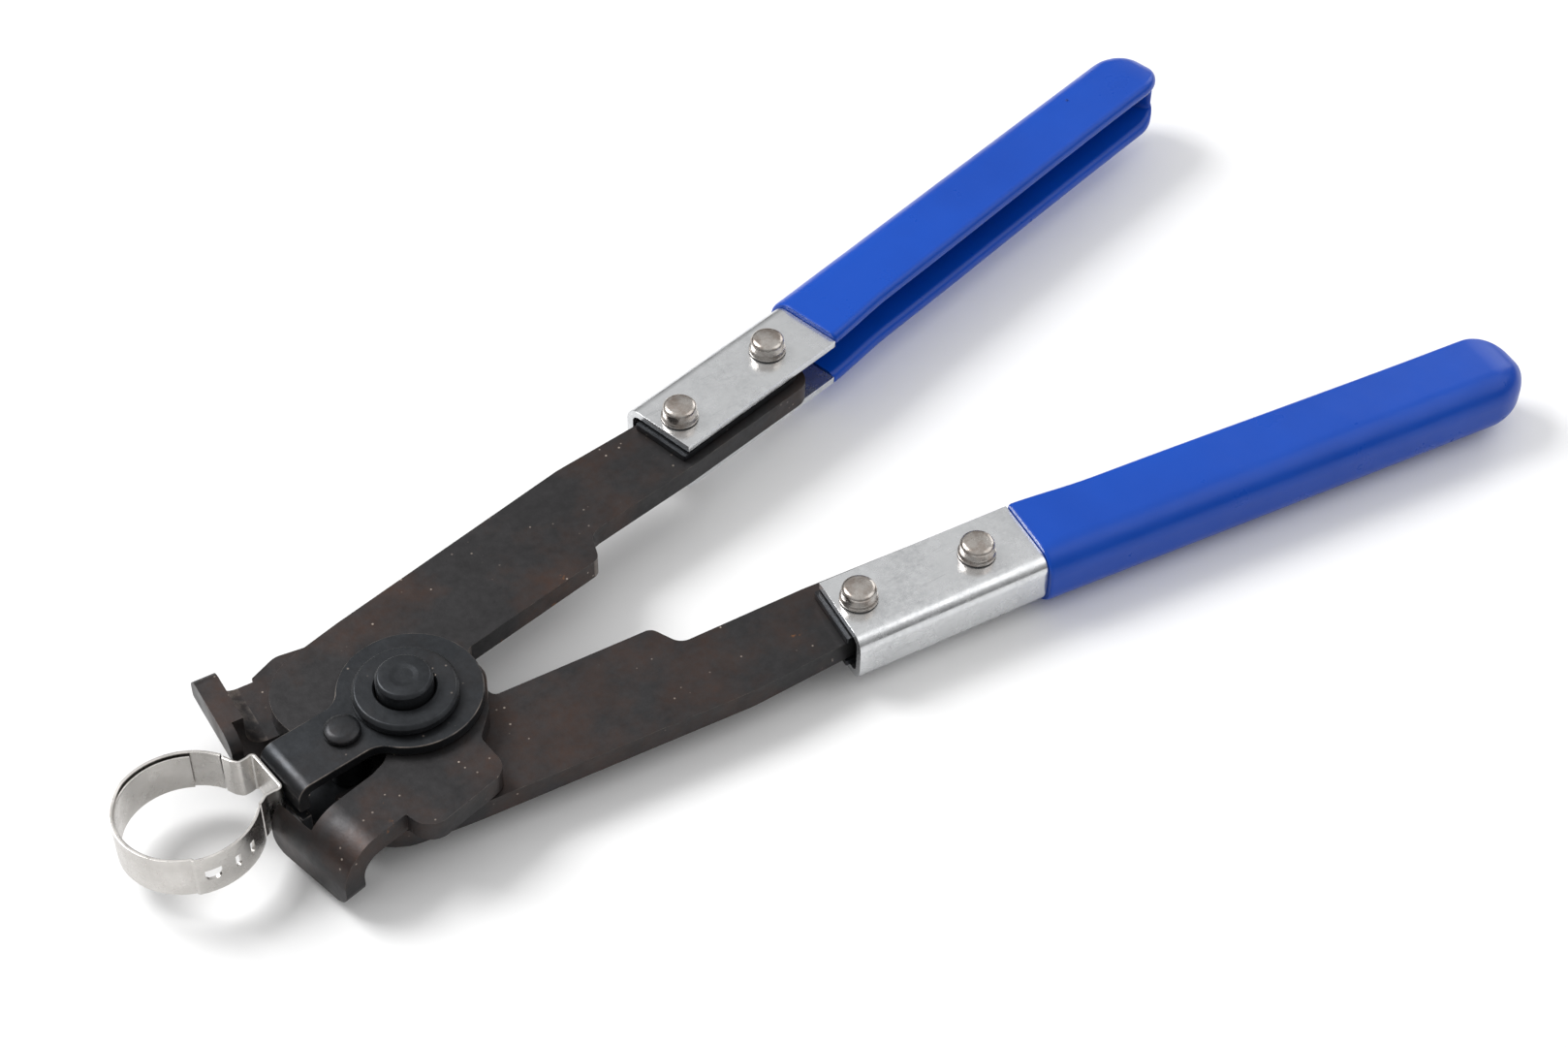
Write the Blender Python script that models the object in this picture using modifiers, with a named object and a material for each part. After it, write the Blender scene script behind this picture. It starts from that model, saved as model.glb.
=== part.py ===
"""Ear-clamp crimping pliers, holding one ear clamp.

Frame: the origin is on the pivot axis at the foot of the pivot stud, +Z is up, +X runs
along the middle of the tool from the pivot towards the handles, so the jaws are at -X.
The two stamped levers lie face to face. The lower one is the upper one turned over, so
its jaw is bent up where the other is bent down.
"""
import math

import bmesh
import bpy
from mathutils import Matrix, Vector

MM = 0.001
TOLERANCE = 1e-5

# Heights, in millimetres
MEETING_PLANE = 10.55  # where the two lever plates face each other
HALF_GAP = 0.15  # between that plane and each plate
GAP = 0.3  # between pieces that touch
PLATE = 4.2  # lever plate
GUIDE_SHEET = 2.0
WASHER_HEIGHT = 2.1
STUD_RISE = 2.9  # of the stud above the top washer
FOOT_HEIGHT = 1.2

# Pivot
STUD_RADIUS = 5.0
FOOT_RADIUS = 7.5
BORE_RADIUS = 5.3
WASHER_RADIUS = 9.25

# Levers, in the lever's own frame: u along the arm, v towards the arm's outer edge
LEVER_ANGLE = 10.35  # from the middle of the tool to the arm, degrees
ARM_END = 106.0
ARM_OUTER = 22.2
NECK_START = -16.0
FLANGE_DROP = 12.4  # from the plate's far face to the end of the jaw flange
BEND_RADIUS = 7.9
NOSE_LENGTH = 8.3
NOSE_SHEET = 2.1
NOSE_TOP = 2.2  # the nose's upper edge, from the plate's far face
NOSE_ROOT = -7.0  # where the nose stops and the neck begins, across the tool

# Guide plates
GUIDE_TURN = 2.5  # of the tongue about the pivot, degrees
GUIDE_RADIUS = 12.7
GUIDE_CENTRE = (1.2, 0.6)  # the guide's round end is not quite about the pivot
TONGUE_HALF = 5.9
TONGUE_FRONT = -25.9
TONGUE_REACH = 5.6  # of the bent end, from the plate's far face
RIVET_REACH = -13.0
GUIDE_RIVET_RADIUS = 2.0
GUIDE_HEAD_RADIUS = 3.2
SPACER_RADIUS = 3.0

# Handles, in the lever's own frame
CHANNEL_HEIGHT = 11.0
CHANNEL_SHEET = 1.5
CHANNEL_BEND = 3.0
CHANNEL_FRONT = 75.3
GRIP_START = 114.5
HANDLE_END = 220.5
VINYL = 1.25
RIVET_SPACING = 24.0
RIVET_OFFSET = 4.5  # of the first rivet from the channel's front
RIVET_LINE = 11.7
RIVET_RADIUS = 3.2
RIVET_SHANK = 2.4
RIVET_RISE = 2.7
SHIM = 1.15
SHIM_LENGTH = 31.5

# Ear clamp
BAND_LONG = 12.7  # half lengths of the slightly oval band
BAND_SHORT = 11.85
BAND_TILT = -24.0  # of the long axis, degrees
BAND_SHEET = 0.6
BAND_WIDTH = 9.0
BAND_CENTRE = (-41.4, 3.25)
BAND_SPAN = (30.0, 322.5)  # where the band starts and ends beside the ear, degrees
EAR_OUTLINE = (  # outer face, from the band's upper end round to its lower end
    (-30.8, 8.7, 0.0),
    (-30.1, 7.2, 0.7),
    (-29.3, 6.3, 0.6),
    (-27.9, 6.3, 0.8),
    (-26.35, 6.75, 1.0),
    (-26.0, -3.4, 1.0),
    (-27.7, -3.0, 0.8),
    (-29.4, -3.0, 0.6),
    (-30.2, -3.6, 0.6),
    (-30.95, -3.95, 0.0),
)

COLOURS = {
    "blackened_steel": ((0.055, 0.050, 0.048, 1), 0.42, 0.85),
    "guide_steel": ((0.040, 0.042, 0.045, 1), 0.38, 0.85),
    "zinc": ((0.72, 0.73, 0.74, 1), 0.30, 0.95),
    "rivet_steel": ((0.50, 0.48, 0.46, 1), 0.25, 1.0),
    "blue_vinyl": ((0.015, 0.095, 0.56, 1), 0.35, 0.0),
    "stainless": ((0.70, 0.69, 0.67, 1), 0.22, 1.0),
}


class Side:
    """One lever with its handle: +1 is the upper lever, -1 the same one turned over."""

    def __init__(self, prefix, sign, jaw, lobe, handle_shift, handle_turn, notch):
        self.prefix = prefix
        self.sign = sign
        self.jaw_turn, self.jaw_face, self.jaw_near, self.jaw_end = jaw
        self.lobe = lobe
        self.handle_shift = handle_shift
        self.handle_turn = handle_turn
        self.notch = notch

    def matrix(self):
        """From the lever's own frame, plate face at z = 0, to the object's frame."""
        turn = Matrix.Rotation(math.radians(LEVER_ANGLE), 4, "Z")
        lift = Matrix.Translation((0, 0, MEETING_PLANE * MM))
        flip = Matrix.Identity(4)
        if self.sign < 0:
            flip = Matrix.Rotation(math.pi, 4, "X")
        return lift @ flip @ turn


SIDES = (
    Side(
        "upper", 1, (-1.0, -30.0, -17.3, 1.45),
        [(-16.2, -18.4, 0.6), (-15.6, -22.9, 4.0)], (-0.8, -0.5), 0.4, (7.9, 7.4),
    ),
    Side(
        "lower", -1, (-3.7, -30.5, -20.1, -2.9),
        [(-21.0, -20.6, 0.5), (-15.8, -23.5, 4.0)], (0.9, 0.5), -0.4, (9.6, 9.0),
    ),
)


def fresh_scene():
    """Empty the scene and make the collections for the parts and the cutters."""
    for item in list(bpy.data.objects):
        bpy.data.objects.remove(item, do_unlink=True)
    made = []
    for name in ("ear_clamp_pliers", "cutters"):
        collection = bpy.data.collections.new(name)
        bpy.context.scene.collection.children.link(collection)
        made.append(collection)
    return made


def material(name):
    """The named material, made once."""
    found = bpy.data.materials.get(name)
    if found:
        return found
    colour, roughness, metallic = COLOURS[name]
    made = bpy.data.materials.new(name)
    made.use_nodes = True
    shader = made.node_tree.nodes["Principled BSDF"]
    shader.inputs["Base Color"].default_value = colour
    shader.inputs["Roughness"].default_value = roughness
    shader.inputs["Metallic"].default_value = metallic
    made.diffuse_color = colour
    return made


def arc_corner(before, corner, after, radius, steps=6):
    """Points of the arc that rounds one corner of an outline."""
    corner = Vector(corner)
    to_before = (Vector(before) - corner).normalized()
    to_after = (Vector(after) - corner).normalized()
    half = to_before.angle(to_after) / 2
    if radius <= 0 or half > math.radians(88):
        return [corner]
    reach = radius / math.tan(half)
    centre = corner + (to_before + to_after).normalized() * radius / math.sin(half)
    start = corner + to_before * reach - centre
    end = corner + to_after * reach - centre
    sweep = start.angle_signed(end)
    count = max(2, round(abs(sweep) / math.radians(90) * steps))
    points = []
    for i in range(count + 1):
        angle = -sweep * i / count
        turned = Vector(
            (
                start.x * math.cos(angle) - start.y * math.sin(angle),
                start.x * math.sin(angle) + start.y * math.cos(angle),
            )
        )
        points.append(centre + turned)
    return points


def rounded(corners, steps=6):
    """An outline from (x, y, radius) corners, each rounded to its radius."""
    points = []
    for i, (x, y, radius) in enumerate(corners):
        before = corners[i - 1][:2]
        after = corners[(i + 1) % len(corners)][:2]
        points += arc_corner(before, (x, y), after, radius, steps)
    return points


def snap(shape):
    """Put the points of a shape on a fine grid, so that faces meant to be level are."""
    for vert in shape.verts:
        vert.co = Vector([round(value, 7) for value in vert.co])


def add_object(name, mesh, collection):
    """Link a new object that shows a mesh."""
    made = bpy.data.objects.new(name, mesh)
    collection.objects.link(made)
    return made


def prism(name, outline, low, high, collection, upright=False):
    """A flat outline in millimetres, extruded between two heights, as a closed mesh.

    An upright prism has its outline in the XZ plane and runs from y = low to y = high.
    """
    curve = bpy.data.curves.new(name, "CURVE")
    curve.dimensions = "2D"
    curve.fill_mode = "BOTH"
    curve.extrude = (high - low) / 2 * MM
    spline = curve.splines.new("POLY")
    spline.points.add(len(outline) - 1)
    for point, (x, y) in zip(spline.points, outline):
        point.co = (x * MM, y * MM, 0, 1)
    spline.use_cyclic_u = True
    source = add_object(name + "_outline", curve, collection)
    place = Matrix.Translation((0, 0, (high + low) / 2 * MM))
    if upright:
        place = Matrix.Rotation(math.pi / 2, 4, "X")
        place = Matrix.Translation((0, (high + low) / 2 * MM, 0)) @ place
    evaluated = source.evaluated_get(bpy.context.evaluated_depsgraph_get())
    mesh = bpy.data.meshes.new_from_object(evaluated)
    bpy.data.objects.remove(source, do_unlink=True)
    bpy.data.curves.remove(curve)
    shape = bmesh.new()
    shape.from_mesh(mesh)
    bmesh.ops.remove_doubles(shape, verts=shape.verts, dist=TOLERANCE)
    bmesh.ops.dissolve_limit(
        shape, angle_limit=math.radians(0.5), verts=shape.verts, edges=shape.edges
    )
    bmesh.ops.transform(shape, matrix=place, verts=shape.verts)
    bmesh.ops.recalc_face_normals(shape, faces=shape.faces)
    snap(shape)
    shape.to_mesh(mesh)
    shape.free()
    mesh.name = name
    mesh.materials.clear()
    return add_object(name, mesh, collection)


def cylinder(name, radius, low, high, centre, collection, sides=40):
    """An upright cylinder between two heights, in millimetres."""
    mesh = bpy.data.meshes.new(name)
    shape = bmesh.new()
    middle = Matrix.Translation((centre[0] * MM, centre[1] * MM, (low + high) / 2 * MM))
    bmesh.ops.create_cone(
        shape,
        cap_ends=True,
        segments=sides,
        radius1=radius * MM,
        radius2=radius * MM,
        depth=(high - low) * MM,
        matrix=middle,
    )
    snap(shape)
    shape.to_mesh(mesh)
    shape.free()
    return add_object(name, mesh, collection)


def box(name, low, high, collection):
    """A box between two corners, in millimetres."""
    mesh = bpy.data.meshes.new(name)
    shape = bmesh.new()
    size = [(h - s) * MM for s, h in zip(low, high)]
    middle = [(h + s) / 2 * MM for s, h in zip(low, high)]
    place = Matrix.Translation(middle) @ Matrix.Diagonal((*size, 1))
    bmesh.ops.create_cube(shape, size=1, matrix=place)
    snap(shape)
    shape.to_mesh(mesh)
    shape.free()
    return add_object(name, mesh, collection)


def turned(name, profile, collection, centre=(0, 0), steps=40):
    """A solid turned about the Z axis from (radius, height) points, outer side downwards."""
    mesh = bpy.data.meshes.new(name)
    shape = bmesh.new()
    closed = profile[0] == profile[-1]
    points = profile[:-1] if closed else profile
    verts = [shape.verts.new((r * MM, 0, z * MM)) for r, z in points]
    if closed:
        verts.append(verts[0])
    for one, two in zip(verts, verts[1:]):
        shape.edges.new((one, two))
    shape.to_mesh(mesh)
    shape.free()
    made = add_object(name, mesh, collection)
    screw = made.modifiers.new("turn", "SCREW")
    screw.steps = steps
    screw.render_steps = steps
    screw.use_merge_vertices = True
    screw.merge_threshold = TOLERANCE
    screw.use_smooth_shade = True
    made.location = (centre[0] * MM, centre[1] * MM, 0)
    return made


def combine(target, other, operation):
    """Cut, join or intersect a piece with another by a live Boolean."""
    modifier = target.modifiers.new(other.name, "BOOLEAN")
    modifier.operation = operation
    modifier.solver = "EXACT"
    modifier.object = other
    other.hide_render = True
    other.display_type = "WIRE"


def bevel(target, width, segments=2, angle=40.0):
    """Round the edges that are sharper than an angle."""
    modifier = target.modifiers.new("edges", "BEVEL")
    modifier.width = width * MM
    modifier.segments = segments
    modifier.limit_method = "ANGLE"
    modifier.angle_limit = math.radians(angle)
    modifier.harden_normals = False
    return modifier


def settle(target):
    """Replace an object's mesh with what its modifiers make of it, tidied up."""
    depsgraph = bpy.context.evaluated_depsgraph_get()
    mesh = bpy.data.meshes.new_from_object(target.evaluated_get(depsgraph))
    target.modifiers.clear()
    shape = bmesh.new()
    shape.from_mesh(mesh)
    bmesh.ops.remove_doubles(shape, verts=shape.verts, dist=TOLERANCE)
    bmesh.ops.dissolve_limit(
        shape, angle_limit=math.radians(0.5), verts=shape.verts, edges=shape.edges
    )
    snap(shape)
    shape.to_mesh(mesh)
    shape.free()
    target.data = mesh
    return target


def finish(target, material_name, matrix=None):
    """Give a piece its material, its place and smooth shading with sharp edges."""
    target.data.materials.clear()
    target.data.materials.append(material(material_name))
    if matrix is not None:
        target.matrix_world = matrix
    return target


def lever_outline(side):
    """Corners of the flat part of a lever, starting at the arm's inner end."""
    hub = 13.9
    neck = side.lobe[0][0]
    return [
        (ARM_END, 2.0, 4.0),
        (ARM_END, 13.9, 2.0),
        (76.0, 17.8, 20.0),
        (56.0, 20.4, 20.0),
        (4.0, ARM_OUTER, 0.0),
        (-17.6, ARM_OUTER, 15.0),
        (-17.6, side.notch[0], 1.2),
        (-11.5, side.notch[1], 2.0),
        (-8.9, 6.6, 1.5),
        (-8.9, -5.2, 1.5),
        (-11.5, -6.6, 1.5),
        (neck, -7.3, 0.0),
        *side.lobe,
        (2.0, -22.8, 3.6),
        (3.4, -14.6, 2.0),
        (hub * 0.62, -hub * 0.80, 4.0),
        (hub, -5.0, 5.0),
        (15.0, 1.4, 1.5),
        (46.0, -0.4, 2.0),
        (49.3, 4.9, 3.0),
        (74.0, 3.1, 20.0),
    ]


def jaw_profile(side):
    """Side view of the neck, bend and flange in the plane of u and z, plate face at 0."""
    start = NECK_START + 2.0
    bend_u = side.jaw_face + BEND_RADIUS
    outer = [(start, PLATE)]
    inner = [(start, 0.0)]
    steps = 10
    for i in range(steps + 1):
        angle = math.pi / 2 * i / steps
        sine, cosine = math.sin(angle), math.cos(angle)
        base = PLATE - BEND_RADIUS
        outer.append((bend_u - BEND_RADIUS * sine, base + BEND_RADIUS * cosine))
        tight = BEND_RADIUS - PLATE
        inner.append((bend_u - tight * sine, base + tight * cosine))
    outer.append((side.jaw_face, PLATE - FLANGE_DROP))
    inner.append((side.jaw_face + PLATE, PLATE - FLANGE_DROP))
    return outer + inner[::-1]


def flange_outline(side):
    """Front view of the jaw in the plane of v and z, with its rounded corners."""
    low = PLATE - FLANGE_DROP
    near, end = side.jaw_near, side.jaw_end
    nose = PLATE - NOSE_TOP
    return [
        (near, PLATE + 1.0, 0.0),
        (near, low, 3.0),
        (end, low, 3.2),
        (end, nose, 1.0),
        (NOSE_ROOT, nose, 0.6),
        (NOSE_ROOT, PLATE + 1.0, 0.0),
    ]


def make_lever(side, name, collection, cutters):
    """A stamped lever: flat plate, bent jaw, pivot bore and rivet holes."""
    outline = rounded(lever_outline(side), 5)
    plate = prism(name, outline, HALF_GAP, HALF_GAP + PLATE, collection)
    near, end = side.jaw_near, side.jaw_end
    jaw = prism(name + "_jaw", jaw_profile(side), near - 1, end + 1, cutters, upright=True)
    front = prism(
        name + "_front", rounded(flange_outline(side), 4), 10.0, 40.0, cutters, upright=True
    )
    across = Matrix.Rotation(math.pi / 2, 4, "Z")
    front.data.transform(across)
    combine(jaw, front, "INTERSECT")
    relief = box(
        name + "_relief",
        (side.jaw_face + NOSE_SHEET, max(NOSE_ROOT, end - NOSE_LENGTH), -20.0),
        (side.jaw_face + 20.0, end + 3.0, 20.0),
        cutters,
    )
    combine(jaw, relief, "DIFFERENCE")
    settle(jaw)
    turn = Matrix.Rotation(math.radians(side.jaw_turn), 4, "Z")
    pivot = Matrix.Translation((NECK_START * MM, 0, 0))
    lift = Matrix.Translation((0, 0, HALF_GAP * MM))
    jaw.data.transform(lift @ pivot @ turn @ pivot.inverted())
    settle(jaw)
    combine(plate, jaw, "UNION")
    bore = cylinder(name + "_bore", BORE_RADIUS, -1.0, PLATE + 2.0, (0, 0), cutters)
    combine(plate, bore, "DIFFERENCE")
    for i, (u, v) in enumerate(rivet_places(side)):
        hole = cylinder(
            f"{name}_hole_{i}", RIVET_SHANK + GAP, -1.0, PLATE + 2.0, (u, v), cutters, 20
        )
        combine(plate, hole, "DIFFERENCE")
    settle(plate)
    bevel(plate, 0.3, 1, 50.0)
    finish(plate, "blackened_steel", side.matrix())
    return plate


def handle_matrix(side):
    """Small offset and turn of a handle about its channel's front, in the lever's frame."""
    shift = Matrix.Translation((side.handle_shift[0] * MM, side.handle_shift[1] * MM, 0))
    front = Matrix.Translation((CHANNEL_FRONT * MM, RIVET_LINE * MM, 0))
    turn = Matrix.Rotation(math.radians(side.handle_turn), 4, "Z")
    return shift @ front @ turn @ front.inverted()


def rivet_places(side):
    """Centres of a handle's two rivets in the lever's frame."""
    matrix = handle_matrix(side)
    places = []
    for i in range(2):
        u = CHANNEL_FRONT + RIVET_OFFSET + RIVET_SPACING * i
        moved = matrix @ Vector((u * MM, RIVET_LINE * MM, 0))
        places.append((moved.x / MM, moved.y / MM))
    return places


def handle_outline(grow, front, run_out=0.0):
    """Plan of a handle: outer edge, rounded tip and tapered inner edge.

    grow moves the outer edge and the tip outwards; run_out moves the inner edge inwards.
    """
    tip = HANDLE_END + grow
    back = 7.0 - run_out
    rear = [
        (tip, 19.5 + grow, 6.5 + grow),
        (tip, back, 4.0 if run_out == 0 else 0.0),
        (204.0, back, 20.0),
        (168.0, 5.9 - run_out, 30.0),
        (130.0, 4.9 - run_out, 20.0),
    ]
    if front > 100.0:
        return [(front, 19.4 + grow, 0.0)] + rear + [(front, 4.0 - run_out, 0.0)]
    waist = [(114.0, 3.9 - run_out, 6.0), (front, 5.2 - run_out, 0.0)]
    return [(front, 21.2 + grow, 0.0), (117.0, 19.4 + grow, 30.0)] + rear + waist


def tray(name, grow, sheet, bend, front, height, collection, cutters, extra=0.0):
    """A U-section handle with a closed rounded tip, open along its inner edge.

    A cutting shape runs out past the inner edge by an extra length.
    """
    middle = HALF_GAP + PLATE / 2
    spill = bend + 2.0
    outline = rounded(handle_outline(grow, front - spill, spill), 4)
    body = prism(name, outline, middle - height / 2, middle + height / 2, collection)
    bevel(body, bend, 3, 50.0)
    pocket_outline = rounded(handle_outline(grow - sheet, front - spill - 1.0, spill + 2.0), 4)
    hollow = height / 2 - sheet
    pocket = prism(name + "_pocket", pocket_outline, middle - hollow, middle + hollow, cutters)
    bevel(pocket, max(bend - sheet, 0.6), 2, 50.0)
    trim_outline = rounded(handle_outline(grow + 1.0, front, extra), 4)
    trim = prism(name + "_trim", trim_outline, middle - height, middle + height, cutters)
    settle(body)
    settle(pocket)
    combine(body, pocket, "DIFFERENCE")
    combine(body, trim, "INTERSECT")
    return body


def make_handle(side, collection, cutters):
    """A zinc channel with its dipped grip."""
    prefix = side.prefix
    matrix = side.matrix() @ handle_matrix(side)
    insert = GRIP_START + 26.0
    channel = tray(
        prefix + "_handle_channel", 0.0, CHANNEL_SHEET, CHANNEL_BEND, CHANNEL_FRONT,
        CHANNEL_HEIGHT, collection, cutters,
    )
    stop = box(prefix + "_stop", (insert, -20, -20), (260, 60, 40), cutters)
    combine(channel, stop, "DIFFERENCE")
    for i in range(2):
        u = CHANNEL_FRONT + RIVET_OFFSET + RIVET_SPACING * i
        hole = cylinder(
            f"{prefix}_channel_hole_{i}", RIVET_SHANK + GAP, -20, 20, (u, RIVET_LINE),
            cutters, 20,
        )
        combine(channel, hole, "DIFFERENCE")
    settle(channel)
    finish(channel, "zinc", matrix)

    wall = CHANNEL_SHEET + 2 * VINYL
    grip = tray(
        prefix + "_handle_grip", VINYL, wall, CHANNEL_BEND + VINYL, GRIP_START,
        CHANNEL_HEIGHT + 2 * VINYL, collection, cutters,
    )
    sleeve = tray(
        prefix + "_sleeve", GAP, CHANNEL_SHEET + 2 * GAP, CHANNEL_BEND, GRIP_START - 3.0,
        CHANNEL_HEIGHT + 2 * GAP, cutters, cutters, extra=1.5,
    )
    end = box(prefix + "_sleeve_end", (insert + GAP, -20, -20), (260, 60, 40), cutters)
    combine(sleeve, end, "DIFFERENCE")
    settle(sleeve)
    combine(grip, sleeve, "DIFFERENCE")
    settle(grip)
    finish(grip, "blue_vinyl", matrix)
    return channel, grip


def make_rivets(side, collection):
    """The two domed rivets of a handle, with a collar under each head."""
    middle = HALF_GAP + PLATE / 2
    face = CHANNEL_HEIGHT / 2 + GAP
    rim = face + RIVET_RISE - GAP
    profile = [
        (0.0, middle + rim + 0.8),
        (1.6, middle + rim + 0.65),
        (2.7, middle + rim + 0.25),
        (RIVET_RADIUS, middle + rim - 0.35),
        (RIVET_RADIUS, middle + face + 0.9),
        (RIVET_RADIUS + 0.3, middle + face + 0.6),
        (RIVET_RADIUS + 0.3, middle + face),
        (RIVET_SHANK, middle + face),
        (RIVET_SHANK, middle - face),
        (RIVET_RADIUS + 0.2, middle - face),
        (RIVET_RADIUS, middle - face - 1.1),
        (2.2, middle - face - 1.6),
        (0.0, middle - face - 1.7),
    ]
    if side.sign < 0:
        profile = [(r, 2 * middle - z) for r, z in reversed(profile)]
    for i, place in enumerate(rivet_places(side)):
        rivet = turned(f"{side.prefix}_handle_rivet_{i + 1}", profile, collection, steps=28)
        offset = Matrix.Translation((place[0] * MM, place[1] * MM, 0))
        finish(rivet, "rivet_steel", side.matrix() @ offset)


def make_shims(side, collection, cutters):
    """The black packing plates between an arm and the two flanges of its channel."""
    middle = HALF_GAP + PLATE / 2
    faces = {"top": side.sign, "bottom": -side.sign}
    for label, way in faces.items():
        near = middle + way * (PLATE / 2 + GAP)
        far = near + way * SHIM
        front = CHANNEL_FRONT - 1.0
        corners = [
            (front, 5.3, 0.0),
            (front + SHIM_LENGTH, 4.3, 3.0),
            (front + SHIM_LENGTH, 14.5, 3.0),
            (front, 17.8, 0.0),
        ]
        name = f"{side.prefix}_shim_{label}"
        shim = prism(name, rounded(corners, 4), min(near, far), max(near, far), collection)
        for i in range(2):
            u = CHANNEL_FRONT + RIVET_OFFSET + RIVET_SPACING * i
            hole = cylinder(
                f"{name}_hole_{i}", RIVET_SHANK + GAP, -20, 20, (u, RIVET_LINE), cutters, 20
            )
            combine(shim, hole, "DIFFERENCE")
        settle(shim)
        finish(shim, "guide_steel", side.matrix() @ handle_matrix(side))


def tongue_profile(level):
    """Side view of a guide tongue with its bent end, lower face at the given height."""
    bend = GUIDE_SHEET + 0.8
    outer = [(-GUIDE_RADIUS * 0.6, level + GUIDE_SHEET)]
    inner = [(-GUIDE_RADIUS * 0.6, level)]
    steps = 5
    for i in range(steps + 1):
        angle = math.pi / 2 * i / steps
        sine, cosine = math.sin(angle), math.cos(angle)
        base = level + GUIDE_SHEET - bend
        centre = TONGUE_FRONT + bend
        outer.append((centre - bend * sine, base + bend * cosine))
        tight = bend - GUIDE_SHEET
        inner.append((centre - tight * sine, base + tight * cosine))
    outer.append((TONGUE_FRONT, level + GUIDE_SHEET - TONGUE_REACH))
    inner.append((TONGUE_FRONT + GUIDE_SHEET, level + GUIDE_SHEET - TONGUE_REACH))
    return outer + inner[::-1]


def make_guides(collection, cutters):
    """Guide plates, their spacer and their rivet."""
    level = HALF_GAP + PLATE + GAP
    turn = Matrix.Rotation(math.radians(GUIDE_TURN), 4, "Z")
    lift = Matrix.Translation((0, 0, MEETING_PLANE * MM))
    for name, flip in (("top_guide_plate", 0.0), ("bottom_guide_plate", math.pi)):
        way = 1 if flip == 0.0 else -1
        centre = (GUIDE_CENTRE[0], GUIDE_CENTRE[1] * way)
        ring = cylinder(name, GUIDE_RADIUS, level, level + GUIDE_SHEET, centre, collection, 48)
        tongue = prism(
            name + "_tongue", tongue_profile(level), -TONGUE_HALF, TONGUE_HALF, cutters,
            upright=True,
        )
        combine(ring, tongue, "UNION")
        for label, radius, x in (("bore", BORE_RADIUS, 0.0), ("eye", 2.3, RIVET_REACH)):
            hole = cylinder(f"{name}_{label}", radius, -1.0, level + 4.0, (x, 0), cutters)
            combine(ring, hole, "DIFFERENCE")
        settle(ring)
        bevel(ring, 0.35, 2, 50.0)
        over = Matrix.Rotation(flip, 4, "X")
        finish(ring, "guide_steel", lift @ turn @ over)

    inner = GUIDE_RIVET_RADIUS + GAP
    half = level - GAP
    sleeve = [
        (inner, half), (SPACER_RADIUS, half), (SPACER_RADIUS, -half), (inner, -half),
        (inner, half),
    ]
    spacer = turned("guide_spacer", sleeve, collection, steps=32)
    offset = Matrix.Translation((RIVET_REACH * MM, 0, 0))
    finish(spacer, "guide_steel", lift @ turn @ offset)

    head = level + GUIDE_SHEET + GAP
    rivet_profile = [
        (0.0, head + 1.5),
        (2.4, head + 1.35),
        (GUIDE_HEAD_RADIUS, head + 0.8),
        (GUIDE_HEAD_RADIUS, head),
        (GUIDE_RIVET_RADIUS, head),
        (GUIDE_RIVET_RADIUS, -head),
        (GUIDE_HEAD_RADIUS, -head),
        (GUIDE_HEAD_RADIUS, -head - 0.6),
        (2.4, -head - 1.15),
        (0.0, -head - 1.3),
    ]
    rivet = turned("guide_rivet", rivet_profile, collection, steps=32)
    finish(rivet, "guide_steel", lift @ turn @ offset)


def make_pivot(collection):
    """Pivot stud and its two washers."""
    level = HALF_GAP + PLATE + GAP + GUIDE_SHEET + GAP
    top = level + WASHER_HEIGHT
    foot = -(top + GAP)
    lift = Matrix.Translation((0, 0, MEETING_PLANE * MM))
    stud_profile = [
        (0.0, top + STUD_RISE),
        (STUD_RADIUS - 0.7, top + STUD_RISE - 0.05),
        (STUD_RADIUS, top + STUD_RISE - 0.6),
        (STUD_RADIUS, foot),
        (FOOT_RADIUS, foot),
        (FOOT_RADIUS, foot - FOOT_HEIGHT + 0.3),
        (FOOT_RADIUS - 0.4, foot - FOOT_HEIGHT),
        (0.0, foot - FOOT_HEIGHT),
    ]
    stud = turned("pivot_pin", stud_profile, collection, steps=48)
    finish(stud, "guide_steel", lift)
    ring = [
        (BORE_RADIUS, top),
        (WASHER_RADIUS - 0.7, top),
        (WASHER_RADIUS, top - 0.6),
        (WASHER_RADIUS, level + 0.2),
        (WASHER_RADIUS - 0.2, level),
        (BORE_RADIUS, level),
        (BORE_RADIUS, top),
    ]
    for name, flip in (("top_washer", 0.0), ("bottom_washer", math.pi)):
        washer = turned(name, ring, collection, steps=48)
        finish(washer, "guide_steel", lift @ Matrix.Rotation(flip, 4, "X"))


def band_arc(inwards, first, last, count):
    """Points of the oval band between two angles in degrees, moved inwards."""
    tilt = math.radians(BAND_TILT)
    points = []
    for i in range(count + 1):
        angle = math.radians(first + (last - first) * i / count)
        across = BAND_SHORT * math.cos(angle - tilt)
        along = BAND_LONG * math.sin(angle - tilt)
        radius = BAND_LONG * BAND_SHORT / math.hypot(across, along) - inwards
        x = BAND_CENTRE[0] + radius * math.cos(angle)
        y = BAND_CENTRE[1] + radius * math.sin(angle)
        points.append((x, y))
    return points


def inset(outline, distance):
    """An open line of (x, y, radius) corners moved to its left by a distance."""
    points = [Vector(corner[:2]) for corner in outline]
    moved = []
    for i, point in enumerate(points):
        normals = []
        for one, two in ((i - 1, i), (i, i + 1)):
            if one >= 0 and two < len(points):
                run = (points[two] - points[one]).normalized()
                normals.append(Vector((run.y, -run.x)))
        normal = sum(normals, Vector((0, 0))).normalized()
        reach = distance / normal.dot(normals[0])
        shifted = point + normal * reach
        moved.append((shifted.x, shifted.y, max(0.0, outline[i][2] * 0.6)))
    return moved


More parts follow.
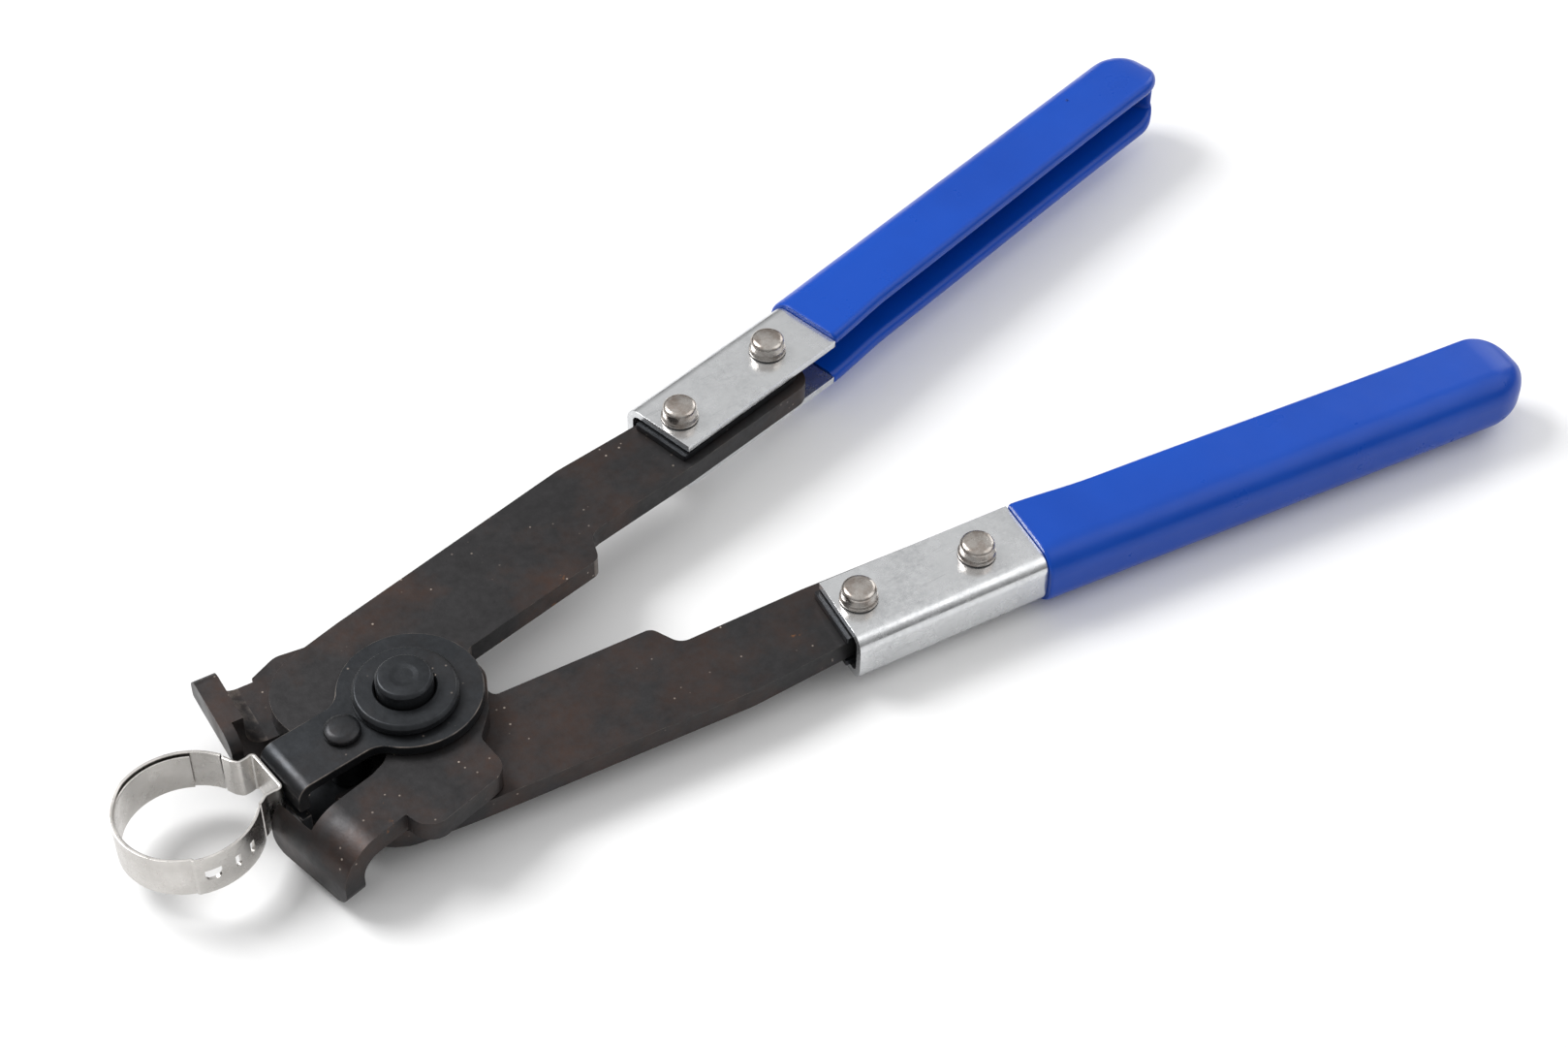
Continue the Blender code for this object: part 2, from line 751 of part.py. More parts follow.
def make_clamp(collection):
    """The stainless ear clamp: an open band, and the raised ear that closes it."""
    low = MEETING_PLANE - BAND_WIDTH / 2
    high = MEETING_PLANE + BAND_WIDTH / 2
    first, last = BAND_SPAN
    outer = band_arc(0.0, first, last, 64)
    inner = band_arc(BAND_SHEET, last, first, 64)
    band = prism("clamp_band", outer + inner, low, high, collection)
    finish(band, "stainless")
    inside = inset(EAR_OUTLINE, BAND_SHEET)
    ear = prism("clamp_ear", rounded(list(EAR_OUTLINE) + inside[::-1], 3), low, high, collection)
    finish(ear, "stainless")


def main():
    parts, cutters = fresh_scene()
    for side, name in zip(SIDES, ("top_lever", "bottom_lever")):
        make_lever(side, name, parts, cutters)
        make_handle(side, parts, cutters)
        make_rivets(side, parts)
        make_shims(side, parts, cutters)
    make_guides(parts, cutters)
    make_pivot(parts)
    make_clamp(parts)


main()
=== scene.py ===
"""Ear-clamp crimping pliers with dipped blue grips, holding a stainless ear clamp.

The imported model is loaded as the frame. Each sub-assembly is a class that builds the
finished meshes of its pieces, dresses them, and puts them on the body they move with.
Lengths in the classes are in millimetres and heights are above the plane where the two
levers meet, unless a comment says otherwise.
"""

import logging
import math
from dataclasses import dataclass, field
from enum import Enum

import bmesh
import bpy
from mathutils import Matrix, Vector

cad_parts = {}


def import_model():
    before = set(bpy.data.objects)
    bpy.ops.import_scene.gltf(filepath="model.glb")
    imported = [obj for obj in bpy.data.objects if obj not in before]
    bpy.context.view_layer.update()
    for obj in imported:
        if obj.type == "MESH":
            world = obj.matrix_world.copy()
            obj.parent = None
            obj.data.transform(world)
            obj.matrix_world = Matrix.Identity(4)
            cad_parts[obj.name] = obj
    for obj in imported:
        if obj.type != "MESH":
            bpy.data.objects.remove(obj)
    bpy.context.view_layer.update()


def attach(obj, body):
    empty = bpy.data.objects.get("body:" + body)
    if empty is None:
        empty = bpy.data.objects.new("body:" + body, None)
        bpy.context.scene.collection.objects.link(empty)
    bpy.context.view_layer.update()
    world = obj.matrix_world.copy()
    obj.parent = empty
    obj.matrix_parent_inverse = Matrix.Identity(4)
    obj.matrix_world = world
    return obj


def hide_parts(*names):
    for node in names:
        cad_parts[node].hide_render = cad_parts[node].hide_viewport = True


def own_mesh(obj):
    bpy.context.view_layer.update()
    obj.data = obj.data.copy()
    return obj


log = logging.getLogger("pliers")

MM = 0.001
MEETING = 10.55  # height of the meeting plane above the foot of the pivot
HALF_GAP = 0.15
GAP = 0.3
PLATE = 4.2
LEVER_ANGLE = 10.35
CHANNEL_FRONT = 75.3
RIVET_FIRST = 4.5  # from the front of the channel to the first rivet
RIVET_APART = 24.0
RIVET_LINE = 11.7  # from the pivot's centre line to the rivets
RIVET_HOLE = 2.7
Corner = tuple[float, float, float]
Point = tuple[float, float]


class Body(Enum):
    """The bodies of the frame that the pieces move with."""

    GUIDE = "guide"
    TOP = "top_arm"
    BOTTOM = "bottom_arm"
    CLAMP = "ear_clamp"


class Face(Enum):
    """Which way up a lever lies."""

    UP = 1
    OVER = -1


# --------------------------------------------------------------------------- materials


class Nodes:
    """A short way to lay out the nodes of one material."""

    def __init__(self, name: str) -> None:
        """Start a material with an empty Principled shader."""
        self.material = bpy.data.materials.new(name)
        self.material.use_nodes = True
        self.tree = self.material.node_tree
        self.shader = self.tree.nodes["Principled BSDF"]
        coords = self.tree.nodes.new("ShaderNodeTexCoord")
        self.object = coords.outputs["Object"]

    def link(self, source, target) -> None:
        """Join an output to an input."""
        self.tree.links.new(source, target)

    def mapped(self, scale: tuple[float, float, float]):
        """Object coordinates, scaled.

        Args:
            scale: factor along each axis.

        Returns:
            The vector output.
        """
        node = self.tree.nodes.new("ShaderNodeMapping")
        node.inputs["Scale"].default_value = scale
        self.link(self.object, node.inputs["Vector"])
        return node.outputs["Vector"]

    def noise(self, scale: float, detail: float = 4.0, rough: float = 0.55, vector=None):
        """A noise value over the piece.

        Args:
            scale: cells in a metre.
            detail: octaves.
            rough: share of the finer octaves.
            vector: coordinates, or None for Object coordinates.

        Returns:
            The value output.
        """
        node = self.tree.nodes.new("ShaderNodeTexNoise")
        node.inputs["Scale"].default_value = scale
        node.inputs["Detail"].default_value = detail
        node.inputs["Roughness"].default_value = rough
        self.link(vector or self.object, node.inputs["Vector"])
        return node.outputs["Fac"]

    def cells(self, scale: float):
        """Distance to the nearest of scattered points."""
        node = self.tree.nodes.new("ShaderNodeTexVoronoi")
        node.inputs["Scale"].default_value = scale
        self.link(self.object, node.inputs["Vector"])
        return node.outputs["Distance"]

    def ramp(self, value, low: float, high: float, first: float = 0.0, last: float = 1.0):
        """A value mapped from one range to another and clamped.

        Args:
            value: the output to map.
            low: value that becomes first.
            high: value that becomes last.
            first: result at low.
            last: result at high.

        Returns:
            The mapped value output.
        """
        node = self.tree.nodes.new("ShaderNodeMapRange")
        node.inputs["From Min"].default_value = low
        node.inputs["From Max"].default_value = high
        node.inputs["To Min"].default_value = first
        node.inputs["To Max"].default_value = last
        self.link(value, node.inputs["Value"])
        return node.outputs["Result"]

    def times(self, one, two):
        """The product of two values, or of a value and a number."""
        node = self.tree.nodes.new("ShaderNodeMath")
        node.operation = "MULTIPLY"
        self.link(one, node.inputs[0])
        if isinstance(two, (int, float)):
            node.inputs[1].default_value = two
        else:
            self.link(two, node.inputs[1])
        return node.outputs[0]

    def mix(self, share, one, two):
        """Two colours mixed by a value.

        Args:
            share: 0 gives one, 1 gives two.
            one: a colour output or an RGB tuple.
            two: a colour output or an RGB tuple.

        Returns:
            The colour output.
        """
        node = self.tree.nodes.new("ShaderNodeMix")
        node.data_type = "RGBA"
        self.link(share, node.inputs["Factor"])
        for socket, value in ((node.inputs[6], one), (node.inputs[7], two)):
            if isinstance(value, tuple):
                socket.default_value = (*value, 1.0)
            else:
                self.link(value, socket)
        return node.outputs[2]

    def edge(self):
        """One on the rounded edges of a piece and zero on its flats."""
        node = self.tree.nodes.new("ShaderNodeAttribute")
        node.attribute_name = "wear"
        return node.outputs["Fac"]

    def colour(self, value) -> None:
        """Set the base colour."""
        self.link(value, self.shader.inputs["Base Color"])

    def roughness(self, value) -> None:
        """Set the roughness from a value output."""
        self.link(value, self.shader.inputs["Roughness"])

    def bump(self, *layers) -> None:
        """Add bump layers.

        Args:
            layers: pairs of a height output and its depth in millimetres.
        """
        previous = None
        for value, depth in layers:
            node = self.tree.nodes.new("ShaderNodeBump")
            node.inputs["Strength"].default_value = 1.0
            node.inputs["Distance"].default_value = depth * MM
            self.link(value, node.inputs["Height"])
            if previous is not None:
                self.link(previous, node.inputs["Normal"])
            previous = node.outputs["Normal"]
        self.link(previous, self.shader.inputs["Normal"])


@dataclass(frozen=True)
class BlackenedSteel:
    """Blackened plate with a brown bloom, fine pits and specks of bare metal."""

    name: str = "blackened_steel"
    base: tuple[float, float, float] = (0.028, 0.027, 0.028)
    brown: tuple[float, float, float] = (0.078, 0.040, 0.027)
    bloom: float = 0.7
    specks: float = 1.0
    rust: float = 1.0
    metallic: float = 0.72
    rough: tuple[float, float] = (0.34, 0.52)

    def material(self) -> bpy.types.Material:
        """Build the material."""
        n = Nodes(self.name)
        n.shader.inputs["Metallic"].default_value = self.metallic
        n.shader.inputs["Specular IOR Level"].default_value = 0.5
        cloud = n.ramp(n.noise(62, 5, 0.6), 0.46, 0.70, 0.0, self.bloom)
        fine = n.ramp(n.noise(620, 4, 0.65), 0.3, 0.7, 0.0, 1.0)
        colour = n.mix(cloud, self.base, self.brown)
        pale = tuple(c * 1.75 for c in self.base)
        colour = n.mix(n.times(fine, 0.55), colour, pale)
        rust = n.ramp(n.noise(95, 6, 0.7), 0.665, 0.715, 0.0, 0.8 * self.rust)
        rust = n.times(rust, n.ramp(n.noise(900, 3, 0.7), 0.45, 0.6))
        colour = n.mix(rust, colour, (0.30, 0.125, 0.045))
        dots = n.ramp(n.cells(520), 0.13, 0.06, 0.0, 0.8)
        dots = n.times(dots, n.ramp(n.noise(120, 2, 0.5), 0.53, 0.64, 0.0, self.specks))
        colour = n.mix(dots, colour, (0.52, 0.44, 0.38))
        worn = n.times(n.edge(), n.ramp(n.noise(240, 5, 0.65), 0.40, 0.66, 0.0, 0.65))
        colour = n.mix(worn, colour, (0.24, 0.205, 0.18))
        n.colour(colour)
        n.roughness(n.ramp(n.noise(180, 5, 0.6), 0.3, 0.7, *self.rough))
        n.bump((n.noise(1500, 3, 0.6), 0.018), (n.noise(210, 4, 0.6), 0.05))
        return n.material


@dataclass(frozen=True)
class BrightZinc:
    """Bright zinc plate with a fine grain, scuffs and drawn streaks."""

    name: str = "zinc"
    base: tuple[float, float, float] = (0.72, 0.73, 0.74)
    dull: tuple[float, float, float] = (0.42, 0.43, 0.445)

    def material(self) -> bpy.types.Material:
        """Build the material."""
        n = Nodes(self.name)
        n.shader.inputs["Metallic"].default_value = 0.9
        grain = n.ramp(n.noise(900, 5, 0.7), 0.36, 0.66)
        cloud = n.ramp(n.noise(75, 4, 0.6), 0.35, 0.7, 0.0, 0.6)
        colour = n.mix(n.times(grain, cloud), self.base, self.dull)
        streak_at = n.mapped((60, 900, 900))
        streaks = n.ramp(n.noise(1.0, 4, 0.7, streak_at), 0.62, 0.70, 0.0, 0.45)
        colour = n.mix(streaks, colour, (0.42, 0.43, 0.44))
        stain = n.ramp(n.noise(160, 6, 0.7), 0.70, 0.76, 0.0, 0.35)
        colour = n.mix(stain, colour, (0.42, 0.36, 0.29))
        n.colour(colour)
        n.roughness(n.ramp(n.noise(240, 5, 0.65), 0.3, 0.7, 0.15, 0.34))
        n.bump((n.noise(1300, 3, 0.6), 0.010), (streaks, 0.012))
        return n.material


@dataclass(frozen=True)
class PolishedRivet:
    """Bright rivet steel with warm blotches."""

    name: str = "rivet_steel"
    base: tuple[float, float, float] = (0.50, 0.47, 0.44)

    def material(self) -> bpy.types.Material:
        """Build the material."""
        n = Nodes(self.name)
        n.shader.inputs["Metallic"].default_value = 1.0
        cloud = n.ramp(n.noise(420, 5, 0.65), 0.42, 0.66, 0.0, 0.85)
        colour = n.mix(cloud, self.base, (0.30, 0.245, 0.21))
        n.colour(colour)
        n.roughness(n.ramp(n.noise(700, 4, 0.6), 0.3, 0.7, 0.16, 0.36))
        n.bump((n.noise(900, 3, 0.6), 0.03))
        return n.material


@dataclass(frozen=True)
class DippedVinyl:
    """Saturated blue dipped vinyl, satin gloss with a soft skin and pinholes, whose insides are
    darkened by painted shade.
    """

    name: str = "blue_vinyl"
    base: tuple[float, float, float] = (0.001, 0.062, 0.430)
    deep: tuple[float, float, float] = (0.001, 0.048, 0.350)

    def material(self) -> bpy.types.Material:
        """Build the material."""
        n = Nodes(self.name)
        n.shader.inputs["Roughness"].default_value = 0.3
        n.shader.inputs["Specular IOR Level"].default_value = 0.25
        n.shader.inputs["Coat Weight"].default_value = 0.08
        n.shader.inputs["Coat Roughness"].default_value = 0.18
        cloud = n.ramp(n.noise(38, 4, 0.55), 0.35, 0.7, 0.0, 0.75)
        colour = n.mix(cloud, self.base, self.deep)
        # pinholes: a dent in the bump, and painted shade that darkens the inside of each one
        # towards black
        hole = n.ramp(n.cells(130), 0.075, 0.045, 0.0, 1.0)
        hole = n.times(hole, n.ramp(n.noise(55, 2, 0.5), 0.60, 0.64))
        colour = n.mix(hole, colour, (0.004, 0.012, 0.07))
        n.colour(colour)
        n.roughness(n.ramp(n.noise(120, 4, 0.6), 0.3, 0.7, 0.26, 0.40))
        dent = n.noise(46, 3, 0.5)
        n.bump((n.noise(700, 3, 0.5), 0.012), (dent, 0.35), (n.times(hole, -1.0), 0.25))
        return n.material


@dataclass(frozen=True)
class RolledStainless:
    """Bright rolled strip with fine lines along it."""

    name: str = "stainless"
    base: tuple[float, float, float] = (0.62, 0.60, 0.575)

    def material(self) -> bpy.types.Material:
        """Build the material."""
        n = Nodes(self.name)
        n.shader.inputs["Metallic"].default_value = 1.0
        lines = n.noise(1.0, 4, 0.65, n.mapped((120, 120, 2600)))
        cloud = n.ramp(n.noise(170, 4, 0.6), 0.4, 0.7, 0.0, 0.5)
        colour = n.mix(cloud, self.base, (0.42, 0.40, 0.375))
        n.colour(colour)
        n.roughness(n.ramp(n.noise(260, 4, 0.6), 0.3, 0.7, 0.20, 0.36))
        n.bump((lines, 0.012), (n.noise(420, 3, 0.6), 0.02))
        return n.material


class Finishes:
    """The finishes of the tool, each made once."""

    def __init__(self) -> None:
        """Build every material."""
        self.lever = BlackenedSteel().material()
        self.guide = BlackenedSteel(
            name="guide_steel", base=(0.026, 0.028, 0.031), brown=(0.050, 0.040, 0.036),
            bloom=0.5, specks=0.7, rust=0.8, metallic=0.78, rough=(0.30, 0.46),
        ).material()
        self.zinc = BrightZinc().material()
        self.rivet = PolishedRivet().material()
        self.vinyl = DippedVinyl().material()
        self.stainless = RolledStainless().material()


# --------------------------------------------------------------------------- mesh tools


def arc_corner(before: Vector, corner: Vector, after: Vector, radius: float, steps: int):
    """Points of the arc that rounds one corner of an outline.

    Args:
        before: the corner before this one.
        corner: the corner to round.
        after: the corner after this one.
        radius: radius of the arc.
        steps: steps in a quarter turn.

    Returns:
        The points, in order.
    """
    to_before = (before - corner).normalized()
    to_after = (after - corner).normalized()
    half = to_before.angle(to_after) / 2
    if radius <= 0 or half > math.radians(88):
        return [corner]
    reach = radius / math.tan(half)
    centre = corner + (to_before + to_after).normalized() * radius / math.sin(half)
    start = corner + to_before * reach - centre
    end = corner + to_after * reach - centre
    sweep = start.angle_signed(end)
    count = max(3, round(abs(sweep) / math.radians(90) * steps))
    points = []
    for i in range(count + 1):
        angle = -sweep * i / count
        cosine, sine = math.cos(angle), math.sin(angle)
        turned = Vector((start.x * cosine - start.y * sine, start.x * sine + start.y * cosine))
        points.append(centre + turned)
    return points


def rounded(corners: list[Corner], steps: int = 14) -> list[Vector]:
    """An outline from (x, y, radius) corners.

    Args:
        corners: the corners, in order.
        steps: steps in a quarter turn.

    Returns:
        The points of the outline.
    """
    points: list[Vector] = []
    for i, (x, y, radius) in enumerate(corners):
        before = Vector(corners[i - 1][:2])
        after = Vector(corners[(i + 1) % len(corners)][:2])
        points += arc_corner(before, Vector((x, y)), after, radius, steps)
    return points


def soft_section(corners: list[Corner], steps: int = 8) -> list[Point]:
    """A closed section with rounded corners and the same number of points each time.

    Args:
        corners: (across, up, rounding) of each corner.
        steps: steps in each corner.

    Returns:
        The points of the section.
    """
    points: list[Point] = []
    for i, (x, y, radius) in enumerate(corners):
        corner = Vector((x, y))
        before = (Vector(corners[i - 1][:2]) - corner).normalized()
        after = (Vector(corners[(i + 1) % len(corners)][:2]) - corner).normalized()
        for k in range(steps + 1):
            turn = math.pi / 2 * k / steps
            point = corner + before * radius * (1.0 - math.sin(turn))
            point += after * radius * (1.0 - math.cos(turn))
            points.append((point.x, point.y))
    return points


def smooth_step(value: float) -> float:
    """A soft ramp from 0 to 1 as the value goes from 0 to 1."""
    share = max(0.0, min(1.0, value))
    return share * share * (3.0 - 2.0 * share)


def link_mesh(name: str, mesh: bpy.types.Mesh) -> bpy.types.Object:
    """A new object in the scene that shows a mesh."""
    made = bpy.data.objects.new(name, mesh)
    bpy.context.scene.collection.objects.link(made)
    return made


def from_bmesh(name: str, shape: bmesh.types.BMesh) -> bpy.types.Object:
    """A new object from a bmesh, which is freed."""
    bmesh.ops.recalc_face_normals(shape, faces=shape.faces)
    for vert in shape.verts:
        vert.co = Vector([round(value, 7) for value in vert.co])
    mesh = bpy.data.meshes.new(name)
    shape.to_mesh(mesh)
    shape.free()
    return link_mesh(name, mesh)


def prism(
    name: str, outline: list, low: float, high: float, upright: bool = False
) -> bpy.types.Object:
    """A flat outline extruded between two heights.

    Args:
        name: name of the object.
        outline: (x, y) points in millimetres.
        low: lower height, or start along Y when upright.
        high: upper height, or end along Y when upright.
        upright: the outline lies in the XZ plane.

    Returns:
        The new object, a closed solid.
    """
    shape = bmesh.new()
    rings = []
    for level in (low, high):
        ring = []
        for x, y in outline:
            place = (x, level, y) if upright else (x, y, level)
            ring.append(shape.verts.new(Vector(place) * MM))
        rings.append(ring)
    count = len(outline)
    for i in range(count):
        j = (i + 1) % count
        shape.faces.new((rings[0][i], rings[0][j], rings[1][j], rings[1][i]))
    shape.faces.new(rings[0][::-1])
    shape.faces.new(rings[1])
    return from_bmesh(name, shape)


def tube(name: str, radius: float, low: float, high: float, at: Point, sides: int = 96):
    """An upright cylinder, used to drill holes.

    Args:
        name: name of the object.
        radius: its radius.
        low: lower height.
        high: upper height.
        at: centre, in millimetres.
        sides: sides of the cylinder.

    Returns:
        The new object.
    """
    outline = []
    for i in range(sides):
        angle = 2 * math.pi * i / sides
        outline.append((at[0] + radius * math.cos(angle), at[1] + radius * math.sin(angle)))
    return prism(name, outline, low, high)


def block(name: str, low: Corner, high: Corner) -> bpy.types.Object:
    """A box between two corners, used as a cutter."""
    outline = [(low[0], low[1]), (high[0], low[1]), (high[0], high[1]), (low[0], high[1])]
    return prism(name, outline, low[2], high[2])


def cut(target: bpy.types.Object, other: bpy.types.Object, way: str = "DIFFERENCE") -> None:
    """Cut, join or intersect one solid with another, which is used up.

    Args:
        target: the solid that is changed.
        other: the other solid.
        way: the Boolean operation.
    """
    modifier = target.modifiers.new("cut", "BOOLEAN")
    modifier.operation = way
    modifier.solver = "EXACT"
    modifier.object = other
    apply_modifiers(target)
    mesh = other.data
    bpy.data.objects.remove(other, do_unlink=True)
    bpy.data.meshes.remove(mesh)


def apply_modifiers(target: bpy.types.Object) -> None:
    """Replace a mesh by what its modifiers make of it, and merge what lies together."""
    depsgraph = bpy.context.evaluated_depsgraph_get()
    mesh = bpy.data.meshes.new_from_object(target.evaluated_get(depsgraph))
    target.modifiers.clear()
    old = target.data
    target.data = mesh
    bpy.data.meshes.remove(old)
    shape = bmesh.new()
    shape.from_mesh(mesh)
    bmesh.ops.remove_doubles(shape, verts=shape.verts, dist=1e-6)
    bmesh.ops.dissolve_limit(
        shape, angle_limit=math.radians(0.2), verts=shape.verts, edges=shape.edges
    )
    for vert in shape.verts:
        vert.co = Vector([round(value, 7) for value in vert.co])
    shape.to_mesh(mesh)
    shape.free()


def round_edges(target: bpy.types.Object, width: float, segments: int, angle: float) -> None:
    """Round the edges sharper than an angle.

    Args:
        target: the solid.
        width: width of the rounding.
        segments: faces across it.
        angle: smallest angle that is rounded, in degrees.
    """
    modifier = target.modifiers.new("edges", "BEVEL")
    modifier.width = width * MM
    modifier.segments = segments
    modifier.limit_method = "ANGLE"
    modifier.angle_limit = math.radians(angle)
    modifier.miter_outer = "MITER_ARC"
    apply_modifiers(target)


def join_meshes(target: bpy.types.Object, other: bpy.types.Object) -> None:
    """Add the mesh of one object to another; the first is used up.

    Args:
        target: the object that grows.
        other: the object that is used up.
    """
    shape = bmesh.new()
    shape.from_mesh(target.data)
    shape.from_mesh(other.data)
    shape.to_mesh(target.data)
    shape.free()
    bpy.data.objects.remove(other, do_unlink=True)


def lathe(name: str, profile: list[Point], matrix: Matrix, sides: int = 96):
    """A solid turned about Z.

    Args:
        name: name of the object.
        profile: (radius, height) points, outer side downwards; closed if it ends where
            it starts.
        matrix: place of the piece.
        sides: faces round it.

    Returns:
        The new object.
    """
    shape = bmesh.new()
    rings = []
    closed = profile[0] == profile[-1]
    points = profile[:-1] if closed else profile
    for radius, height in points:
        if radius < 1e-6:
            rings.append([shape.verts.new((0, 0, height * MM))])
            continue
        ring = []
        for i in range(sides):
            angle = 2 * math.pi * i / sides
            place = (radius * math.cos(angle), radius * math.sin(angle), height)
            ring.append(shape.verts.new(Vector(place) * MM))
        rings.append(ring)
    pairs = list(zip(rings, rings[1:]))
    if closed:
        pairs.append((rings[-1], rings[0]))
    for one, two in pairs:
        for i in range(sides):
            j = (i + 1) % sides
            corners = [one[i % len(one)], one[j % len(one)], two[j % len(two)], two[i % len(two)]]
            unique = list(dict.fromkeys(corners))
            if len(unique) > 2:
                shape.faces.new(unique)
    bmesh.ops.transform(shape, matrix=matrix, verts=shape.verts)
    return from_bmesh(name, shape)


def soft_profile(corners: list[Corner], steps: int = 6) -> list[Point]:
    """An open profile with rounded corners.

    Args:
        corners: (radius, height, rounding) of each corner.
        steps: steps in a quarter turn.

    Returns:
        The points of the profile.
    """
    points: list[Point] = []
    for i, (x, y, radius) in enumerate(corners):
        if i in (0, len(corners) - 1) or radius <= 0:
            points.append((x, y))
            continue
        before, after = Vector(corners[i - 1][:2]), Vector(corners[i + 1][:2])
        arc = arc_corner(before, Vector((x, y)), after, radius, steps)
        points += [(p.x, p.y) for p in arc]
    return points


def mark_wear(mesh: bpy.types.Mesh, narrow: float = 0.27) -> None:
    """Mark the narrow faces of the rounded edges in a wear attribute.

    Args:
        mesh: the mesh to mark.
        narrow: widest face that counts as an edge, in millimetres.
    """
    values = []
    for face in mesh.polygons:
        corners = [mesh.vertices[i].co for i in face.vertices]
        longest = max((a - b).length for a, b in zip(corners, corners[1:] + corners[:1]))
        values.append(float(face.area / longest < narrow * MM))
    wear = mesh.attributes.new("wear", "FLOAT", "FACE")
    wear.data.foreach_set("value", values)


def dress(
    piece: bpy.types.Object, finish: bpy.types.Material, body: Body, angle: float = 32.0,
    worn: bool = False,
) -> bpy.types.Object:
    """Give a piece its finish and smooth shading, and put it on its body.

    Args:
        piece: the piece, in place.
        finish: its material.
        body: the body it moves with.
        angle: edges sharper than this stay sharp, in degrees.
        worn: its rounded edges are rubbed bright.

    Returns:
        The piece.
    """
    piece.data.transform(piece.matrix_world)
    piece.matrix_world = Matrix.Identity(4)
    if worn:
        mark_wear(piece.data)
    piece.data.materials.clear()
    piece.data.materials.append(finish)
    piece.data.shade_smooth()
    piece.data.set_sharp_from_angle(angle=math.radians(angle))
    modifier = piece.modifiers.new("normals", "WEIGHTED_NORMAL")
    modifier.keep_sharp = True
    depsgraph = bpy.context.evaluated_depsgraph_get()
    mesh = bpy.data.meshes.new_from_object(piece.evaluated_get(depsgraph))
    piece.modifiers.clear()
    piece.data = mesh
    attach(piece, body.value)
    return piece


def stand_for(piece: bpy.types.Object, slot: str, *nodes: str) -> None:
    """Hide the solids that a piece stands for, and log it."""
    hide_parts(*nodes)
    log.info("%s: %d faces for %s", piece.name, len(piece.data.polygons), ", ".join(nodes))


# --------------------------------------------------------------------------- the tool


@dataclass
class Side:
    """Where one arm lies: its face, and how its handle sits on it."""

    prefix: str
    body: Body
    face: Face
    handle_shift: Point
    handle_turn: float

    def matrix(self) -> Matrix:
        """From the lever's own frame to the tool's."""
        turn = Matrix.Rotation(math.radians(LEVER_ANGLE), 4, "Z")
        lift = Matrix.Translation((0, 0, MEETING * MM))
        flip = Matrix.Identity(4)
        if self.face is Face.OVER:
            flip = Matrix.Rotation(math.pi, 4, "X")
        return lift @ flip @ turn

    def handle_matrix(self) -> Matrix:
        """From the handle's frame to the lever's own frame."""
        x, y = self.handle_shift
        front = Matrix.Translation((CHANNEL_FRONT * MM, RIVET_LINE * MM, 0))
        turn = Matrix.Rotation(math.radians(self.handle_turn), 4, "Z")
        return Matrix.Translation((x * MM, y * MM, 0)) @ front @ turn @ front.inverted()


